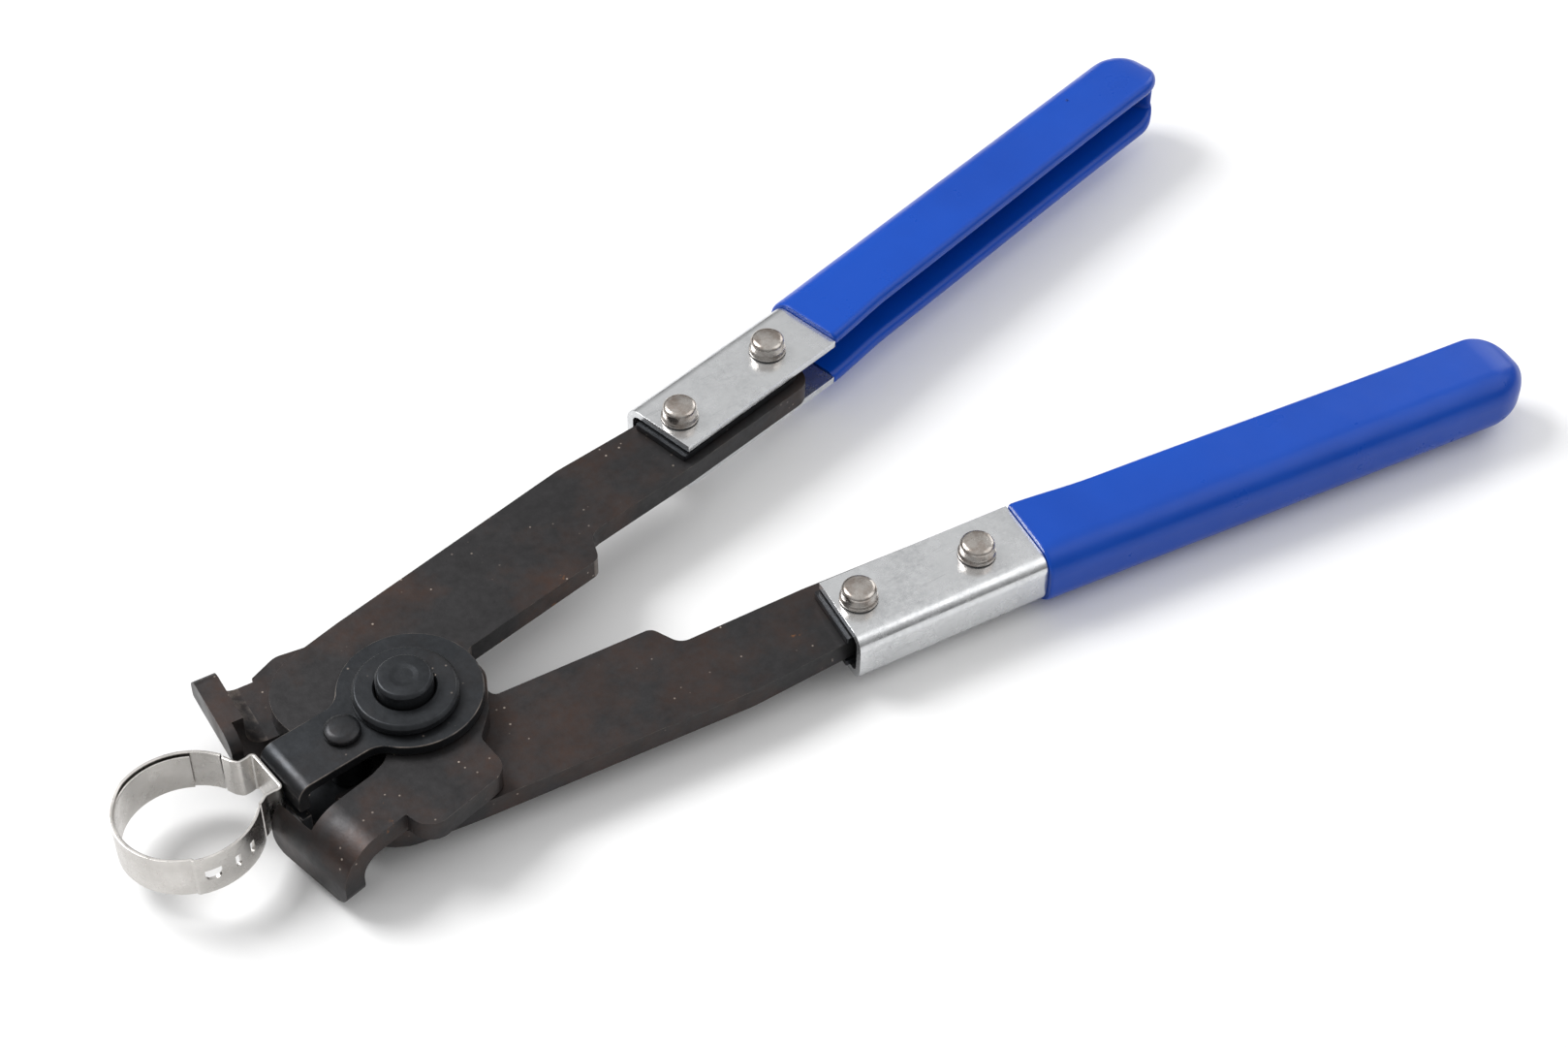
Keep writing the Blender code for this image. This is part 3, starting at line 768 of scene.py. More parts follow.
@dataclass
class StampedLever:
    """A stamped lever with its turned-in jaw."""

    side: Side
    node: str
    jaw_turn: float
    jaw_face: float
    jaw_near: float
    jaw_end: float
    lobe: list[Corner]
    bend: float = 7.9
    drop: float = 12.4
    nose_sheet: float = 2.1
    nose_root: float = -7.0
    nose_top: float = 2.2
    neck_start: float = -16.0
    bore: float = 5.3
    edge: float = 0.38
    notch: Point = (9.6, 9.0)

    def outline(self) -> list[Corner]:
        """Corners of the flat part."""
        return [
            (106.0, 2.0, 4.0), (106.0, 13.9, 2.0), (76.0, 17.8, 20.0), (56.0, 20.4, 20.0),
            (4.0, 22.2, 0.0), (-17.6, 22.2, 11.0),
            (-17.6, self.notch[0], 1.2), (-11.5, self.notch[1], 2.0),
            (-8.9, 6.6, 1.5), (-8.9, -5.2, 1.5), (-11.5, -6.6, 1.5),
            (self.lobe[0][0], -7.3, 0.0), *self.lobe, (2.0, -22.8, 3.6), (3.4, -14.6, 2.0),
            (8.618, -11.12, 4.0), (13.9, -5.0, 5.0), (15.0, 1.4, 1.5), (46.0, -0.4, 2.0),
            (49.3, 4.9, 3.0), (74.0, 3.1, 20.0),
        ]

    def jaw_side(self) -> list[Point]:
        """Side view of the neck, the bend and the flange."""
        start = self.neck_start + 2.0
        centre = self.jaw_face + self.bend
        outer: list[Point] = [(start, PLATE)]
        inner: list[Point] = [(start, 0.0)]
        steps = 28
        for i in range(steps + 1):
            angle = math.pi / 2 * i / steps
            sine, cosine = math.sin(angle), math.cos(angle)
            base = PLATE - self.bend
            tight = self.bend - PLATE
            outer.append((centre - self.bend * sine, base + self.bend * cosine))
            inner.append((centre - tight * sine, base + tight * cosine))
        outer.append((self.jaw_face, PLATE - self.drop))
        inner.append((self.jaw_face + PLATE, PLATE - self.drop))
        return outer + inner[::-1]

    def jaw_front(self) -> list[Corner]:
        """Front view of the jaw, across the tool and up."""
        low = PLATE - self.drop
        nose = PLATE - self.nose_top
        return [
            (self.jaw_near, PLATE + 1.0, 0.0), (self.jaw_near, low, 3.0),
            (self.jaw_end, low, 3.2), (self.jaw_end, nose, 1.0),
            (self.nose_root, nose, 0.6), (self.nose_root, PLATE + 1.0, 0.0),
        ]

    def jaw(self) -> bpy.types.Object:
        """The bent jaw with its thinned nose, ready to join to the plate."""
        jaw = prism("jaw", self.jaw_side(), self.jaw_near - 1, self.jaw_end + 1, True)
        front = prism("front", rounded(self.jaw_front(), 10), 10.0, 40.0, True)
        front.data.transform(Matrix.Rotation(math.pi / 2, 4, "Z"))
        cut(jaw, front, "INTERSECT")
        relief = block(
            "relief", (self.jaw_face + self.nose_sheet, self.nose_root, -20.0),
            (self.jaw_face + 20.0, self.jaw_end + 3.0, 20.0),
        )
        cut(jaw, relief)
        turn = Matrix.Rotation(math.radians(self.jaw_turn), 4, "Z")
        pivot = Matrix.Translation((self.neck_start * MM, 0, 0))
        lift = Matrix.Translation((0, 0, HALF_GAP * MM))
        jaw.data.transform(lift @ pivot @ turn @ pivot.inverted())
        apply_modifiers(jaw)
        return jaw

    def build(self, finish: bpy.types.Material) -> bpy.types.Object:
        """Build and dress the lever.

        Args:
            finish: the lever's material.

        Returns:
            The finished piece.
        """
        piece = prism(self.node + "_body", rounded(self.outline()), HALF_GAP, HALF_GAP + PLATE)
        cut(piece, self.jaw(), "UNION")
        cut(piece, tube("bore", self.bore, -1.0, PLATE + 2.0, (0, 0)))
        for place in rivet_places(self.side):
            cut(piece, tube("hole", RIVET_HOLE, -1.0, PLATE + 2.0, place, 48))
        round_edges(piece, self.edge, 3, 40.0)
        piece.data.transform(self.side.matrix())
        dress(piece, finish, self.side.body, worn=True)
        stand_for(piece, "blackened_steel", self.node)
        return piece


def rivet_places(side: Side) -> list[Point]:
    """Centres of a handle's two rivets in the lever's frame."""
    places = []
    for i in range(2):
        along = CHANNEL_FRONT + RIVET_FIRST + RIVET_APART * i
        moved = side.handle_matrix() @ Vector((along * MM, RIVET_LINE * MM, 0))
        places.append((moved.x / MM, moved.y / MM))
    return places


@dataclass
class Handle:
    """A zinc channel with a dipped grip, its packing plates and its rivets."""

    side: Side
    front: float = CHANNEL_FRONT
    grip_start: float = 114.5
    end: float = 220.5
    height: float = 11.0
    sheet: float = 1.5
    bend: float = 3.0
    vinyl: float = 1.25
    shim: float = 1.15
    middle: float = HALF_GAP + PLATE / 2

    def outline(self, grow: float, front: float, run_out: float = 0.0) -> list[Corner]:
        """Plan of the handle.

        Args:
            grow: how far the outer edge and the tip move out.
            front: where it starts.
            run_out: how far the inner edge moves in.

        Returns:
            The corners.
        """
        tip = self.end + grow
        back = 7.0 - run_out
        rear = [
            (tip, 19.5 + grow, 6.5 + grow), (tip, back, 4.0 if run_out == 0 else 0.0),
            (204.0, back, 20.0), (168.0, 5.9 - run_out, 30.0), (130.0, 4.9 - run_out, 20.0),
        ]
        if front > 100.0:
            return [(front, 19.4 + grow, 0.0)] + rear + [(front, 4.0 - run_out, 0.0)]
        waist = [(114.0, 3.9 - run_out, 6.0), (front, 5.2 - run_out, 0.0)]
        return [(front, 21.2 + grow, 0.0), (117.0, 19.4 + grow, 30.0)] + rear + waist

    def tray(
        self, name: str, grow: float, sheet: float, bend: float, front: float, height: float,
        extra: float = 0.0, smooth: int = 6,
    ) -> bpy.types.Object:
        """A U-section with a closed, rounded tip, open along its inner edge.

        Args:
            name: name of the object.
            grow: how far it stands out from the channel.
            sheet: its wall.
            bend: outer radius of its long edges.
            front: where it starts.
            height: its height.
            extra: how far it runs out past the inner edge.
            smooth: faces across each rounded edge.

        Returns:
            The solid, in the handle's frame.
        """
        spill = bend + 2.0
        half, hollow = height / 2, height / 2 - sheet
        outline = rounded(self.outline(grow, front - spill, spill), 10)
        body = prism(name, outline, self.middle - half, self.middle + half)
        round_edges(body, bend, smooth, 50.0)
        plan = rounded(self.outline(grow - sheet, front - spill - 1.0, spill + 2.0), 10)
        pocket = prism("pocket", plan, self.middle - hollow, self.middle + hollow)
        round_edges(pocket, max(bend - sheet, 0.6), smooth, 50.0)
        trim_plan = rounded(self.outline(grow + 1.0, front, extra), 10)
        trim = prism("trim", trim_plan, self.middle - height, self.middle + height)
        cut(body, pocket)
        cut(body, trim, "INTERSECT")
        return body

    def place(self) -> Matrix:
        """From the handle's frame to the tool's."""
        return self.side.matrix() @ self.side.handle_matrix()

    def drill(self, piece: bpy.types.Object) -> None:
        """Drill the two rivet holes through a piece of the handle."""
        for i in range(2):
            place = (self.front + RIVET_FIRST + RIVET_APART * i, RIVET_LINE)
            cut(piece, tube("hole", RIVET_HOLE, -20, 20, place, 48))

    def channel(self, finish: bpy.types.Material) -> None:
        """Build the zinc channel.

        Args:
            finish: its material.
        """
        node = self.side.prefix + "_handle_channel"
        piece = self.tray(node + "_body", 0.0, self.sheet, self.bend, self.front, self.height)
        cut(piece, block("stop", (self.grip_start - 0.1, -20, -20), (260, 60, 40)))
        self.drill(piece)
        round_edges(piece, 0.22, 2, 50.0)
        piece.data.transform(self.place())
        dress(piece, finish, self.side.body)
        stand_for(piece, "zinc", node)

    def rims(self, u: float) -> Point:
        """The inner rim and the outer edge of the grip at one station.

        Args:
            u: distance along the handle.

        Returns:
            The distances across the handle.
        """
        inner = 4.0 + 0.9 * smooth_step((u - 114.0) / 18.0)
        inner += 0.7 * smooth_step((u - 130.0) / 76.0)
        outer = 19.4 + self.vinyl
        return inner, outer

    def grip_section(self, u: float, shrink: float, depth: float) -> list[Corner]:
        """Corners of the C-shaped section of the grip.

        Args:
            u: distance along the handle.
            shrink: how far the section has closed in towards the tip, 0 to 1.
            depth: how much of the hollow is left, 0 to 1.

        Returns:
            (across, up, rounding) corners.
        """
        inner, outer = self.rims(u)
        middle = inner + 0.56 * (outer - inner)
        inner += shrink * (middle - inner)
        outer -= shrink * (outer - middle)
        half = (self.height / 2 + self.vinyl) * (1.0 - 0.62 * shrink)
        wall = 3.1
        hollow = half - wall * (1.0 - 0.75 * shrink)
        bottom = inner + (outer - wall - inner) * depth
        rim = 0.48 * (half - hollow)
        lip = min(rim, 0.45 * (bottom - inner))
        bend = min(5.2, 0.45 * (outer - inner), 0.8 * half)
        cove = min(1.6, 0.45 * (bottom - inner), 0.6 * hollow)
        return [
            (inner, -half, rim), (outer, -half, bend), (outer, half, bend),
            (inner, half, rim), (inner, hollow, lip), (bottom, hollow, cove),
            (bottom, -hollow, cove), (inner, -hollow, lip),
        ]

    def grip(self, finish: bpy.types.Material) -> None:
        """Build the dipped grip, one C-shaped section after the other.

        Args:
            finish: its material.
        """
        node = self.side.prefix + "_handle_grip"
        tip = self.end + self.vinyl
        round_tip = 8.2
        stations = [(self.grip_start, 0.035), (self.grip_start + 0.25, 0.012),
                    (self.grip_start + 0.6, 0.0)]
        straight = tip - round_tip - self.grip_start
        for i in range(1, 41):
            stations.append((self.grip_start + 0.6 + (straight - 0.6) * i / 40, 0.0))
        for i in range(1, 21):
            turn = math.pi / 2 * i / 20
            stations.append((tip - round_tip * (1.0 - math.sin(turn)), 1.0 - math.cos(turn)))
        shape = bmesh.new()
        rings = []
        for u, shrink in stations:
            depth = 1.0 - smooth_step((u - (tip - 7.5)) / 5.5)
            section = soft_section(self.grip_section(u, 0.97 * shrink, 0.97 * depth + 0.03))
            ring = []
            for across, up in section:
                ring.append(shape.verts.new(Vector((u, across, self.middle + up)) * MM))
            rings.append(ring)
        for one, two in zip(rings, rings[1:]):
            for i in range(len(one)):
                j = (i + 1) % len(one)
                shape.faces.new((one[i], one[j], two[j], two[i]))
        shape.faces.new(rings[0][::-1])
        shape.faces.new(rings[-1])
        piece = from_bmesh(node + "_body", shape)
        piece.data.transform(self.place())
        dress(piece, finish, self.side.body, 50.0)
        stand_for(piece, "blue_vinyl", node)

    def packing(self, finish: bpy.types.Material) -> None:
        """Build the two packing plates between the arm and the channel.

        Args:
            finish: their material.
        """
        for label, way in (("top", self.side.face.value), ("bottom", -self.side.face.value)):
            near = self.middle + way * (PLATE / 2 + GAP)
            far = near + way * self.shim
            front = self.front - 1.0
            corners = [
                (front, 5.3, 0.3), (front + 31.5, 4.3, 3.0), (front + 31.5, 14.5, 3.0),
                (front, 17.8, 0.3),
            ]
            node = f"{self.side.prefix}_shim_{label}"
            piece = prism(node + "_body", rounded(corners, 8), min(near, far), max(near, far))
            self.drill(piece)
            round_edges(piece, 0.15, 2, 50.0)
            piece.data.transform(self.place())
            dress(piece, finish, self.side.body)
            stand_for(piece, "guide_steel", node)

    def rivet_profile(self) -> list[Point]:
        """Side view of a handle rivet, about the middle of the arm."""
        face = self.height / 2 + GAP
        side = face + 2.1
        points: list[Point] = []
        for i in range(9):
            radius = 2.1 * i / 8
            points.append((radius, side + 1.1 - 0.16 * (radius / 2.1) ** 2))
        for i in range(1, 11):
            turn = math.pi / 2 * i / 10
            points.append((2.1 + 1.1 * math.sin(turn), side + 0.94 * math.cos(turn)))
        points += [
            (3.16, face + 0.95), (3.22, face + 0.75), (3.42, face + 0.55), (3.5, face + 0.35),
            (3.5, face), (2.4, face), (2.4, -face), (3.4, -face), (3.38, -face - 0.6),
            (3.1, -face - 1.1), (2.2, -face - 1.5), (0.0, -face - 1.7),
        ]
        return points

    def rivets(self, finish: bpy.types.Material) -> None:
        """Place the handle's rivets as a row, by a node tree.

        Args:
            finish: their material.
        """
        flip = -1 if self.side.face is Face.OVER else 1
        profile = [(r, self.middle + z) for r, z in self.rivet_profile()]
        if flip < 0:
            profile = [(r, 2 * self.middle - z) for r, z in reversed(profile)]
        pattern = lathe("rivet_pattern", profile, Matrix.Identity(4), 72)
        row = RivetRow(count=2, spacing=RIVET_APART)
        name = self.side.prefix + "_handle_rivets"
        piece = row.build(name, pattern, finish)
        start = Matrix.Translation(((self.front + RIVET_FIRST) * MM, RIVET_LINE * MM, 0))
        piece.data.transform(self.place() @ start)
        dress(piece, finish, self.side.body)
        nodes = [f"{self.side.prefix}_handle_rivet_{i + 1}" for i in range(2)]
        stand_for(piece, "rivet_steel", *nodes)

    def build(self, finishes: Finishes) -> None:
        """Build every piece of the handle.

        Args:
            finishes: the tool's finishes.
        """
        self.channel(finishes.zinc)
        self.grip(finishes.vinyl)
        self.packing(finishes.guide)
        self.rivets(finishes.rivet)


@dataclass
class RivetRow:
    """A straight row of equal rivets, laid out by a Geometry Nodes tree."""

    count: int
    spacing: float

    def tree(self) -> bpy.types.NodeTree:
        """Build the node tree, with named inputs for its sizes."""
        tree = bpy.data.node_groups.new("rivet_row", "GeometryNodeTree")
        face = tree.interface
        face.new_socket("Geometry", in_out="OUTPUT", socket_type="NodeSocketGeometry")
        face.new_socket("Rivet", in_out="INPUT", socket_type="NodeSocketObject")
        face.new_socket("Rivets in the row", in_out="INPUT", socket_type="NodeSocketInt")
        face.new_socket("Distance apart", in_out="INPUT", socket_type="NodeSocketFloat")
        face.new_socket("Finish", in_out="INPUT", socket_type="NodeSocketMaterial")
        group_in = tree.nodes.new("NodeGroupInput")
        group_out = tree.nodes.new("NodeGroupOutput")
        line = tree.nodes.new("GeometryNodeMeshLine")
        offset = tree.nodes.new("ShaderNodeCombineXYZ")
        source = tree.nodes.new("GeometryNodeObjectInfo")
        instance = tree.nodes.new("GeometryNodeInstanceOnPoints")
        realize = tree.nodes.new("GeometryNodeRealizeInstances")
        finish = tree.nodes.new("GeometryNodeSetMaterial")
        join = tree.links.new
        join(group_in.outputs["Rivet"], source.inputs["Object"])
        join(group_in.outputs["Rivets in the row"], line.inputs["Count"])
        join(group_in.outputs["Distance apart"], offset.inputs["X"])
        join(offset.outputs["Vector"], line.inputs["Offset"])
        join(line.outputs["Mesh"], instance.inputs["Points"])
        join(source.outputs["Geometry"], instance.inputs["Instance"])
        join(instance.outputs["Instances"], realize.inputs["Geometry"])
        join(realize.outputs["Geometry"], finish.inputs["Geometry"])
        join(group_in.outputs["Finish"], finish.inputs["Material"])
        join(finish.outputs["Geometry"], group_out.inputs["Geometry"])
        return tree

    def build(
        self, name: str, pattern: bpy.types.Object, finish: bpy.types.Material
    ) -> bpy.types.Object:
        """Lay out the row and turn it into a plain mesh.

        Args:
            name: name of the piece.
            pattern: one rivet, which is used up.
            finish: the rivets' material.

        Returns:
            The row as one mesh, its first rivet at the origin.
        """
        tree = self.tree()
        piece = link_mesh(name, bpy.data.meshes.new(name))
        modifier = piece.modifiers.new("row", "NODES")
        modifier.node_group = tree
        values = {
            "Rivet": pattern, "Rivets in the row": self.count,
            "Distance apart": self.spacing * MM, "Finish": finish,
        }
        for item in tree.interface.items_tree:
            if item.in_out == "INPUT":
                modifier[item.identifier] = values[item.name]
        depsgraph = bpy.context.evaluated_depsgraph_get()
        mesh = bpy.data.meshes.new_from_object(piece.evaluated_get(depsgraph))
        piece.modifiers.clear()
        piece.data = mesh
        bpy.data.objects.remove(pattern, do_unlink=True)
        return piece


@dataclass
class GuideAssembly:
    """The two guide plates with their spacer and rivet."""

    turn: float = 2.5
    radius: float = 12.7
    centre: Point = (1.2, 0.6)
    tongue: float = 5.9
    front: float = -25.9
    reach: float = 5.6
    sheet: float = 2.0
    rivet_at: float = -13.0
    fillet: float = 4.5
    level: float = HALF_GAP + PLATE + GAP

    def place(self, over: bool = False) -> Matrix:
        """From a guide plate's frame to the tool's."""
        turn = Matrix.Rotation(math.radians(self.turn), 4, "Z")
        flip = Matrix.Rotation(math.pi if over else 0.0, 4, "X")
        return Matrix.Translation((0, 0, MEETING * MM)) @ turn @ flip

    def tongue_side(self) -> list[Point]:
        """Side view of the tongue with its bent end."""
        bend = self.sheet + 0.8
        outer: list[Point] = [(-self.radius * 0.6, self.level + self.sheet)]
        inner: list[Point] = [(-self.radius * 0.6, self.level)]
        base = self.level + self.sheet - bend
        centre = self.front + bend
        steps = 16
        for i in range(steps + 1):
            angle = math.pi / 2 * i / steps
            sine, cosine = math.sin(angle), math.cos(angle)
            outer.append((centre - bend * sine, base + bend * cosine))
            inner.append((centre - 0.8 * sine, base + 0.8 * cosine))
        foot = self.level + self.sheet - self.reach
        outer.append((self.front, foot))
        inner.append((self.front + self.sheet, foot))
        return outer + inner[::-1]

    def pear(self, way: int) -> list[Point]:
        """Plan of the disc with the fillets that lead into the tongue.

        Args:
            way: -1 for the plate that is turned over.

        Returns:
            The points of the outline.
        """
        centre = Vector((self.centre[0], self.centre[1] * way))
        reach = self.radius + self.fillet
        hubs = []
        for sign in (1, -1):
            y = sign * (self.tongue + self.fillet)
            x = centre.x - math.sqrt(reach ** 2 - (y - centre.y) ** 2)
            hubs.append(Vector((x, y)))
        points: list[Point] = []
        ends = [math.atan2(hub.y - centre.y, hub.x - centre.x) for hub in hubs]
        steps = 110
        for i in range(steps + 1):
            angle = ends[0] + (ends[1] - ends[0]) * i / steps
            points.append((centre.x + self.radius * math.cos(angle),
                           centre.y + self.radius * math.sin(angle)))
        for hub, end, sign in ((hubs[1], ends[1], -1), (hubs[0], ends[0], 1)):
            arc = []
            first, last = end + math.pi * -sign, math.pi / 2 * -sign
            for i in range(1, 13):
                angle = first + (last - first) * i / 12
                arc.append((hub.x + self.fillet * math.cos(angle),
                            hub.y + self.fillet * math.sin(angle)))
            points += arc if sign < 0 else arc[::-1]
        return points

    def plate(self, node: str, over: bool, finish: bpy.types.Material) -> None:
        """Build one guide plate.

        Args:
            node: the solid it stands for.
            over: it is turned over, under the lower lever.
            finish: its material.
        """
        way = -1 if over else 1
        top = self.level + self.sheet
        piece = prism(node + "_body", self.pear(way), self.level, top)
        tongue = prism("tongue", self.tongue_side(), -self.tongue, self.tongue, True)
        cut(piece, tongue, "UNION")
        cut(piece, tube("bore", 5.3, -1.0, top + 2.0, (0, 0)))
        cut(piece, tube("eye", 2.3, -1.0, top + 2.0, (self.rivet_at, 0), 48))
        round_edges(piece, 0.4, 3, 40.0)
        piece.data.transform(self.place(over))
        dress(piece, finish, Body.GUIDE, worn=True)
        stand_for(piece, "guide_steel", node)

    def build(self, finishes: Finishes) -> None:
        """Build the plates, the spacer and the rivet.

        Args:
            finishes: the tool's finishes.
        """
        self.plate("top_guide_plate", False, finishes.guide)
        self.plate("bottom_guide_plate", True, finishes.guide)
        offset = Matrix.Translation((self.rivet_at * MM, 0, 0))
        half = self.level - GAP
        sleeve = [(2.3, half), (2.85, half), (3.0, half - 0.15), (3.0, 0.15 - half),
                  (2.85, -half), (2.3, -half), (2.3, half)]
        spacer = lathe("guide_spacer_body", sleeve, self.place() @ offset)
        dress(spacer, finishes.guide, Body.GUIDE)
        stand_for(spacer, "guide_steel", "guide_spacer")
        head = self.level + self.sheet + GAP
        corners: list[Corner] = [
            (0.0, head + 1.5, 0.0), (2.3, head + 1.36, 1.4), (3.2, head + 0.8, 0.5),
            (3.2, head, 0.1), (2.0, head, 0.0), (2.0, -head, 0.0), (3.2, -head, 0.1),
            (3.2, -head - 0.8, 0.5), (2.3, -head - 1.36, 1.4), (0.0, -head - 1.5, 0.0),
        ]
        rivet = lathe("guide_rivet_body", soft_profile(corners), self.place() @ offset)
        dress(rivet, finishes.guide, Body.GUIDE)
        stand_for(rivet, "guide_steel", "guide_rivet")


@dataclass
class PivotStack:
    """The pivot stud with its foot and the two washers."""

    stud: float = 5.0
    foot: float = 7.5
    foot_height: float = 1.2
    washer: float = 9.25
    bore: float = 5.3
    level: float = HALF_GAP + PLATE + GAP + 2.0 + GAP
    washer_height: float = 2.1
    rise: float = 2.9

    def build(self, finishes: Finishes) -> None:
        """Build the stud and the washers.

        Args:
            finishes: the tool's finishes.
        """
        lift = Matrix.Translation((0, 0, MEETING * MM))
        top = self.level + self.washer_height
        base = -(top + GAP)
        tip = top + self.rise
        corners: list[Corner] = [
            (0.0, tip - 0.12, 0.0), (1.6, tip - 0.12, 1.0), (2.5, tip, 1.5),
            (self.stud - 0.55, tip - 0.02, 0.5), (self.stud, tip - 0.6, 0.35),
            (self.stud, base, 0.0), (self.foot, base, 0.15),
            (self.foot, base - self.foot_height, 0.4), (0.0, base - self.foot_height, 0.0),
        ]
        stud = lathe("pivot_stud", soft_profile(corners), lift, 128)
        dress(stud, finishes.guide, Body.GUIDE)
        stand_for(stud, "guide_steel", "pivot_pin")
        ring: list[Corner] = [
            (self.bore, top - 0.2, 0.0), (self.bore + 0.25, top, 0.1),
            (self.washer - 0.6, top, 0.5), (self.washer, top - 0.7, 0.4),
            (self.washer, self.level + 0.25, 0.15), (self.washer - 0.25, self.level, 0.1),
            (self.bore, self.level, 0.0),
        ]
        profile = soft_profile(ring)
        profile.append(profile[0])
        for node, flip in (("top_washer", 0.0), ("bottom_washer", math.pi)):
            place = lift @ Matrix.Rotation(flip, 4, "X")
            washer = lathe(node + "_body", profile, place, 128)
            dress(washer, finishes.guide, Body.GUIDE)
            stand_for(washer, "guide_steel", node)


@dataclass
class EarClamp:
    """The stainless clamp: an oval band lapped over itself, and its raised ear."""

    centre: Point = (-41.4, 3.25)
    long: float = 12.7
    short: float = 11.85
    tilt: float = -24.0
    span: Point = (30.0, 322.5)
    sheet: float = 0.6
    width: float = 9.0
    lap_start: float = 247.0
    tail: Point = (56.0, 214.0)
    ear: list[Corner] = field(default_factory=lambda: [
        (-30.8, 8.7, 0.0), (-30.1, 7.2, 0.7), (-29.3, 6.3, 0.6), (-27.9, 6.3, 0.8),
        (-26.35, 6.75, 1.0), (-26.0, -3.4, 1.0), (-27.7, -3.0, 0.8), (-29.4, -3.0, 0.6),
        (-30.2, -3.6, 0.6), (-30.95, -3.95, 0.0),
    ])

    def at(self, angle: float, inwards: float) -> Point:
        """A point of the oval.

        Args:
            angle: direction from the middle, in degrees.
            inwards: how far inside the outer face.

        Returns:
            The point.
        """
        turned = math.radians(angle)
        lean = turned - math.radians(self.tilt)
        reach = math.hypot(self.short * math.cos(lean), self.long * math.sin(lean))
        radius = self.long * self.short / reach - inwards
        return (self.centre[0] + radius * math.cos(turned),
                self.centre[1] + radius * math.sin(turned))

    def strip(self, name: str, line: list[Vector], thick: float, low: float, high: float):
        """An upright strip with softened edges along an open line.

        Args:
            name: name of the object.
            line: points of its outer face.
            thick: thickness, to the left of the line.
            low: height of its lower edge.
            high: height of its upper edge.

        Returns:
            The new object.
        """
        soft = 0.14
        section = [
            (soft, low), (0.04, low + 0.04), (0.0, low + soft), (0.0, high - soft),
            (0.04, high - 0.04), (soft, high), (thick - soft, high),
            (thick - 0.04, high - 0.04), (thick, high - soft), (thick, low + soft),
            (thick - 0.04, low + 0.04), (thick - soft, low),
        ]
        shape = bmesh.new()
        rings = []
        for i, point in enumerate(line):
            before = line[max(i - 1, 0)]
            after = line[min(i + 1, len(line) - 1)]
            run = (after - before).normalized()
            normal = Vector((-run.y, run.x))
            ring = []
            for depth, height in section:
                x, y = point + normal * depth
                ring.append(shape.verts.new(Vector((x, y, height)) * MM))
            rings.append(ring)
        count = len(section)
        for one, two in zip(rings, rings[1:]):
            for i in range(count):
                j = (i + 1) % count
                shape.faces.new((one[i], one[j], two[j], two[i]))
        shape.faces.new(rings[0][::-1])
        shape.faces.new(rings[-1])
        return from_bmesh(name, shape)

    def band(self, finish: bpy.types.Material) -> None:
        """Build the band with its lap, hook window and slots.

        Args:
            finish: its material.
        """
        low, high = MEETING - self.width / 2, MEETING + self.width / 2
        first, last = self.span
        outer = []
        steps = 220
        for i in range(steps + 1):
            angle = first + (last - first) * i / steps
            step = 0.0
            if angle < self.lap_start:
                step = self.sheet * min(1.0, (self.lap_start - angle) / 0.8) * 0.7
            if angle < 150.0:
                step *= max(0.0, min(1.0, (angle - 120.0) / 18.0))
            outer.append(Vector(self.at(angle, step)))
        piece = self.strip("clamp_band_body", outer, self.sheet, low, high)
        for angle, half_wide, half_high in ((262.0, 1.5, 1.3), (284.0, 0.55, 1.4),
                                            (300.0, 0.55, 1.4)):
            x, y = self.at(angle, 0.3)
            window = self.window(half_wide, half_high, angle, x, y)
            cut(piece, window)
        first, last = self.tail
        line = []
        for i in range(121):
            line.append(Vector(self.at(first + (last - first) * i / 120, self.sheet + 0.3)))
        tail = self.strip("tail", line, 0.4, low + 0.5, high - 0.4)
        join_meshes(piece, tail)
        dress(piece, finish, Body.CLAMP)
        stand_for(piece, "stainless", "clamp_band")

    def window(self, half_wide: float, half_high: float, angle: float, x: float, y: float):
        """A cutter for one opening in the band.

        Args:
            half_wide: half its width along the band.
            half_high: half its height.
            angle: where it is on the oval, in degrees.
            x: place on the band.
            y: place on the band.

        Returns:
            The cutter.
        """
        corners = [
            (-half_wide, -half_high, half_wide * 0.8), (half_wide, -half_high, half_wide * 0.8),
            (half_wide, half_high, 0.15), (-half_wide, half_high, 0.15),
        ]
        cutter = prism("window", rounded(corners, 6), -2.0, 2.0, True)
        turn = Matrix.Rotation(math.radians(angle - 90.0), 4, "Z")
        place = Matrix.Translation((x * MM, y * MM, MEETING * MM))
        cutter.data.transform(place @ turn)
        return cutter

    def raised_ear(self, finish: bpy.types.Material) -> None:
        """Build the ear.

        Args:
            finish: its material.
        """
        low, high = MEETING - self.width / 2, MEETING + self.width / 2
        line: list[Vector] = []
        for i, (x, y, radius) in enumerate(self.ear):
            if i in (0, len(self.ear) - 1):
                line.append(Vector((x, y)))
                continue
            before, after = Vector(self.ear[i - 1][:2]), Vector(self.ear[i + 1][:2])
            line += arc_corner(before, Vector((x, y)), after, radius, 10)
        thick = self.sheet
        piece = self.strip("clamp_ear_body", line[::-1], thick, low, high)
        dress(piece, finish, Body.CLAMP)
        stand_for(piece, "stainless", "clamp_ear")
        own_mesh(piece)

    def build(self, finishes: Finishes) -> None:
        """Build the band and the ear.

        Args:
            finishes: the tool's finishes.
        """
        self.band(finishes.stainless)
        self.raised_ear(finishes.stainless)


# --------------------------------------------------------------------------- the studio


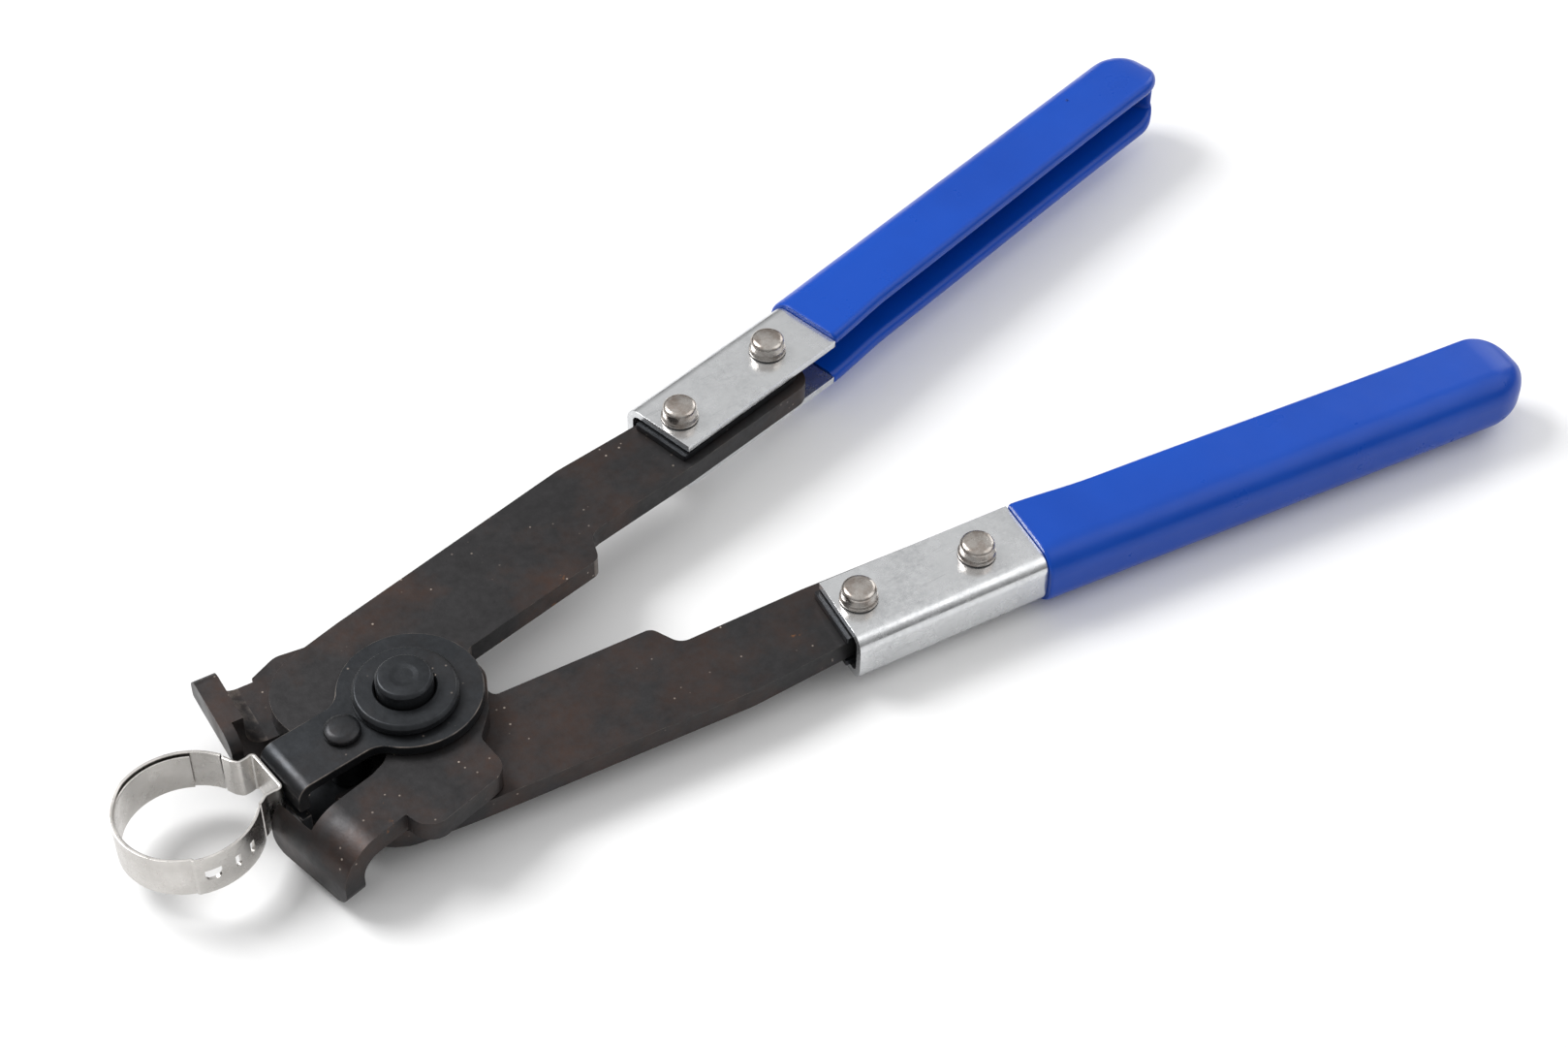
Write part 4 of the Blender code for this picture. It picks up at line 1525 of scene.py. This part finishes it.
@dataclass
class Studio:
    """The table, the lights and the camera."""

    azimuth: float = -38.02
    elevation: float = 47.26
    roll: float = 1.09
    back_off: tuple[float, float, float] = (64.32, 33.60, 524.34)
    lens: float = 70.2
    horizon: float = 0.06
    zenith: float = 0.78

    def camera(self) -> None:
        """Make the camera."""
        azimuth, elevation = math.radians(self.azimuth), math.radians(self.elevation)
        right = Vector((math.cos(azimuth), math.sin(azimuth), 0))
        back = Vector((
            math.sin(azimuth) * math.cos(elevation), -math.cos(azimuth) * math.cos(elevation),
            math.sin(elevation),
        ))
        up = back.cross(right)
        roll = math.radians(self.roll)
        across = right * math.cos(roll) + up * math.sin(roll)
        above = up * math.cos(roll) - right * math.sin(roll)
        x, y, z = self.back_off
        place = (across * x + above * y + back * z) * MM + Vector((0, 0, MEETING * MM))
        turn = Matrix((across, above, back)).transposed().to_4x4()
        data = bpy.data.cameras.new("camera")
        data.lens = self.lens
        data.sensor_width = 36.0
        data.sensor_fit = "HORIZONTAL"
        data.clip_start = 0.01
        camera = bpy.data.objects.new("camera", data)
        bpy.context.scene.collection.objects.link(camera)
        camera.matrix_world = Matrix.Translation(place) @ turn
        bpy.context.scene.camera = camera

    def light(self, name: str, at: Corner, size: float, watts: float, aim: Corner) -> None:
        """Make one soft area light.

        Args:
            name: name of the light.
            at: its place, in metres.
            size: its side, in metres.
            watts: its power.
            aim: where it points, in metres.
        """
        data = bpy.data.lights.new(name, "AREA")
        data.shape = "SQUARE"
        data.size = size
        data.energy = watts
        light = bpy.data.objects.new(name, data)
        bpy.context.scene.collection.objects.link(light)
        light.location = at
        way = Vector(aim) - Vector(at)
        light.rotation_euler = way.to_track_quat("-Z", "Y").to_euler()

    def floor(self) -> None:
        """Make the pale table."""
        shape = bmesh.new()
        side = 4.0
        corners = [shape.verts.new((x * side, y * side, 0.0))
                   for x, y in ((-1, -1), (1, -1), (1, 1), (-1, 1))]
        shape.faces.new(corners)
        table = from_bmesh("table", shape)
        paint = Nodes("table_white")
        paint.shader.inputs["Base Color"].default_value = (0.90, 0.90, 0.90, 1)
        paint.shader.inputs["Roughness"].default_value = 0.6
        table.data.materials.append(paint.material)

    def sky(self) -> None:
        """Make the surround, pale overhead and grey near the horizon."""
        world = bpy.data.worlds.new("studio")
        world.use_nodes = True
        tree = world.node_tree
        coords = tree.nodes.new("ShaderNodeTexCoord")
        split = tree.nodes.new("ShaderNodeSeparateXYZ")
        strength = tree.nodes.new("ShaderNodeMapRange")
        strength.inputs["From Min"].default_value = 0.0
        strength.inputs["From Max"].default_value = 0.85
        strength.inputs["To Min"].default_value = self.horizon
        strength.inputs["To Max"].default_value = self.zenith
        sky = tree.nodes["Background"]
        sky.inputs["Color"].default_value = (1, 1, 1, 1)
        tree.links.new(coords.outputs["Generated"], split.inputs["Vector"])
        tree.links.new(split.outputs["Z"], strength.inputs["Value"])
        tree.links.new(strength.outputs["Result"], sky.inputs["Strength"])
        bpy.context.scene.world = world

    def build(self) -> None:
        """Make the whole studio."""
        self.camera()
        self.floor()
        self.sky()
        aim = (0.07, 0.0, 0.0)
        self.light("key", (-0.35, 0.75, 0.95), 0.6, 12.5, aim)
        self.light("fill", (0.75, -0.55, 0.8), 0.9, 2.6, aim)
        self.light("rim", (0.95, 0.25, 0.4), 0.5, 1.6, aim)
        view = bpy.context.scene.view_settings
        view.view_transform = "Standard"
        view.look = "None"


def main() -> None:
    """Build the tool and the studio."""
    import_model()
    finishes = Finishes()
    upper = Side("upper", Body.TOP, Face.UP, (-0.8, -0.5), 0.4)
    lower = Side("lower", Body.BOTTOM, Face.OVER, (0.9, 0.5), -0.4)
    levers = (
        StampedLever(upper, "top_lever", -1.0, -30.0, -17.3, 1.45,
                     [(-16.2, -18.4, 0.6), (-15.6, -22.9, 4.0)], notch=(7.9, 7.4)),
        StampedLever(lower, "bottom_lever", -3.7, -30.5, -20.1, -2.9,
                     [(-21.0, -20.6, 0.5), (-15.8, -23.5, 4.0)]),
    )
    for lever in levers:
        lever.build(finishes.lever)
        Handle(lever.side).build(finishes)
    GuideAssembly().build(finishes)
    PivotStack().build(finishes)
    EarClamp().build(finishes)
    Studio().build()


if __name__ == "__main__":
    logging.basicConfig(level=logging.INFO, format="%(message)s")
    main()
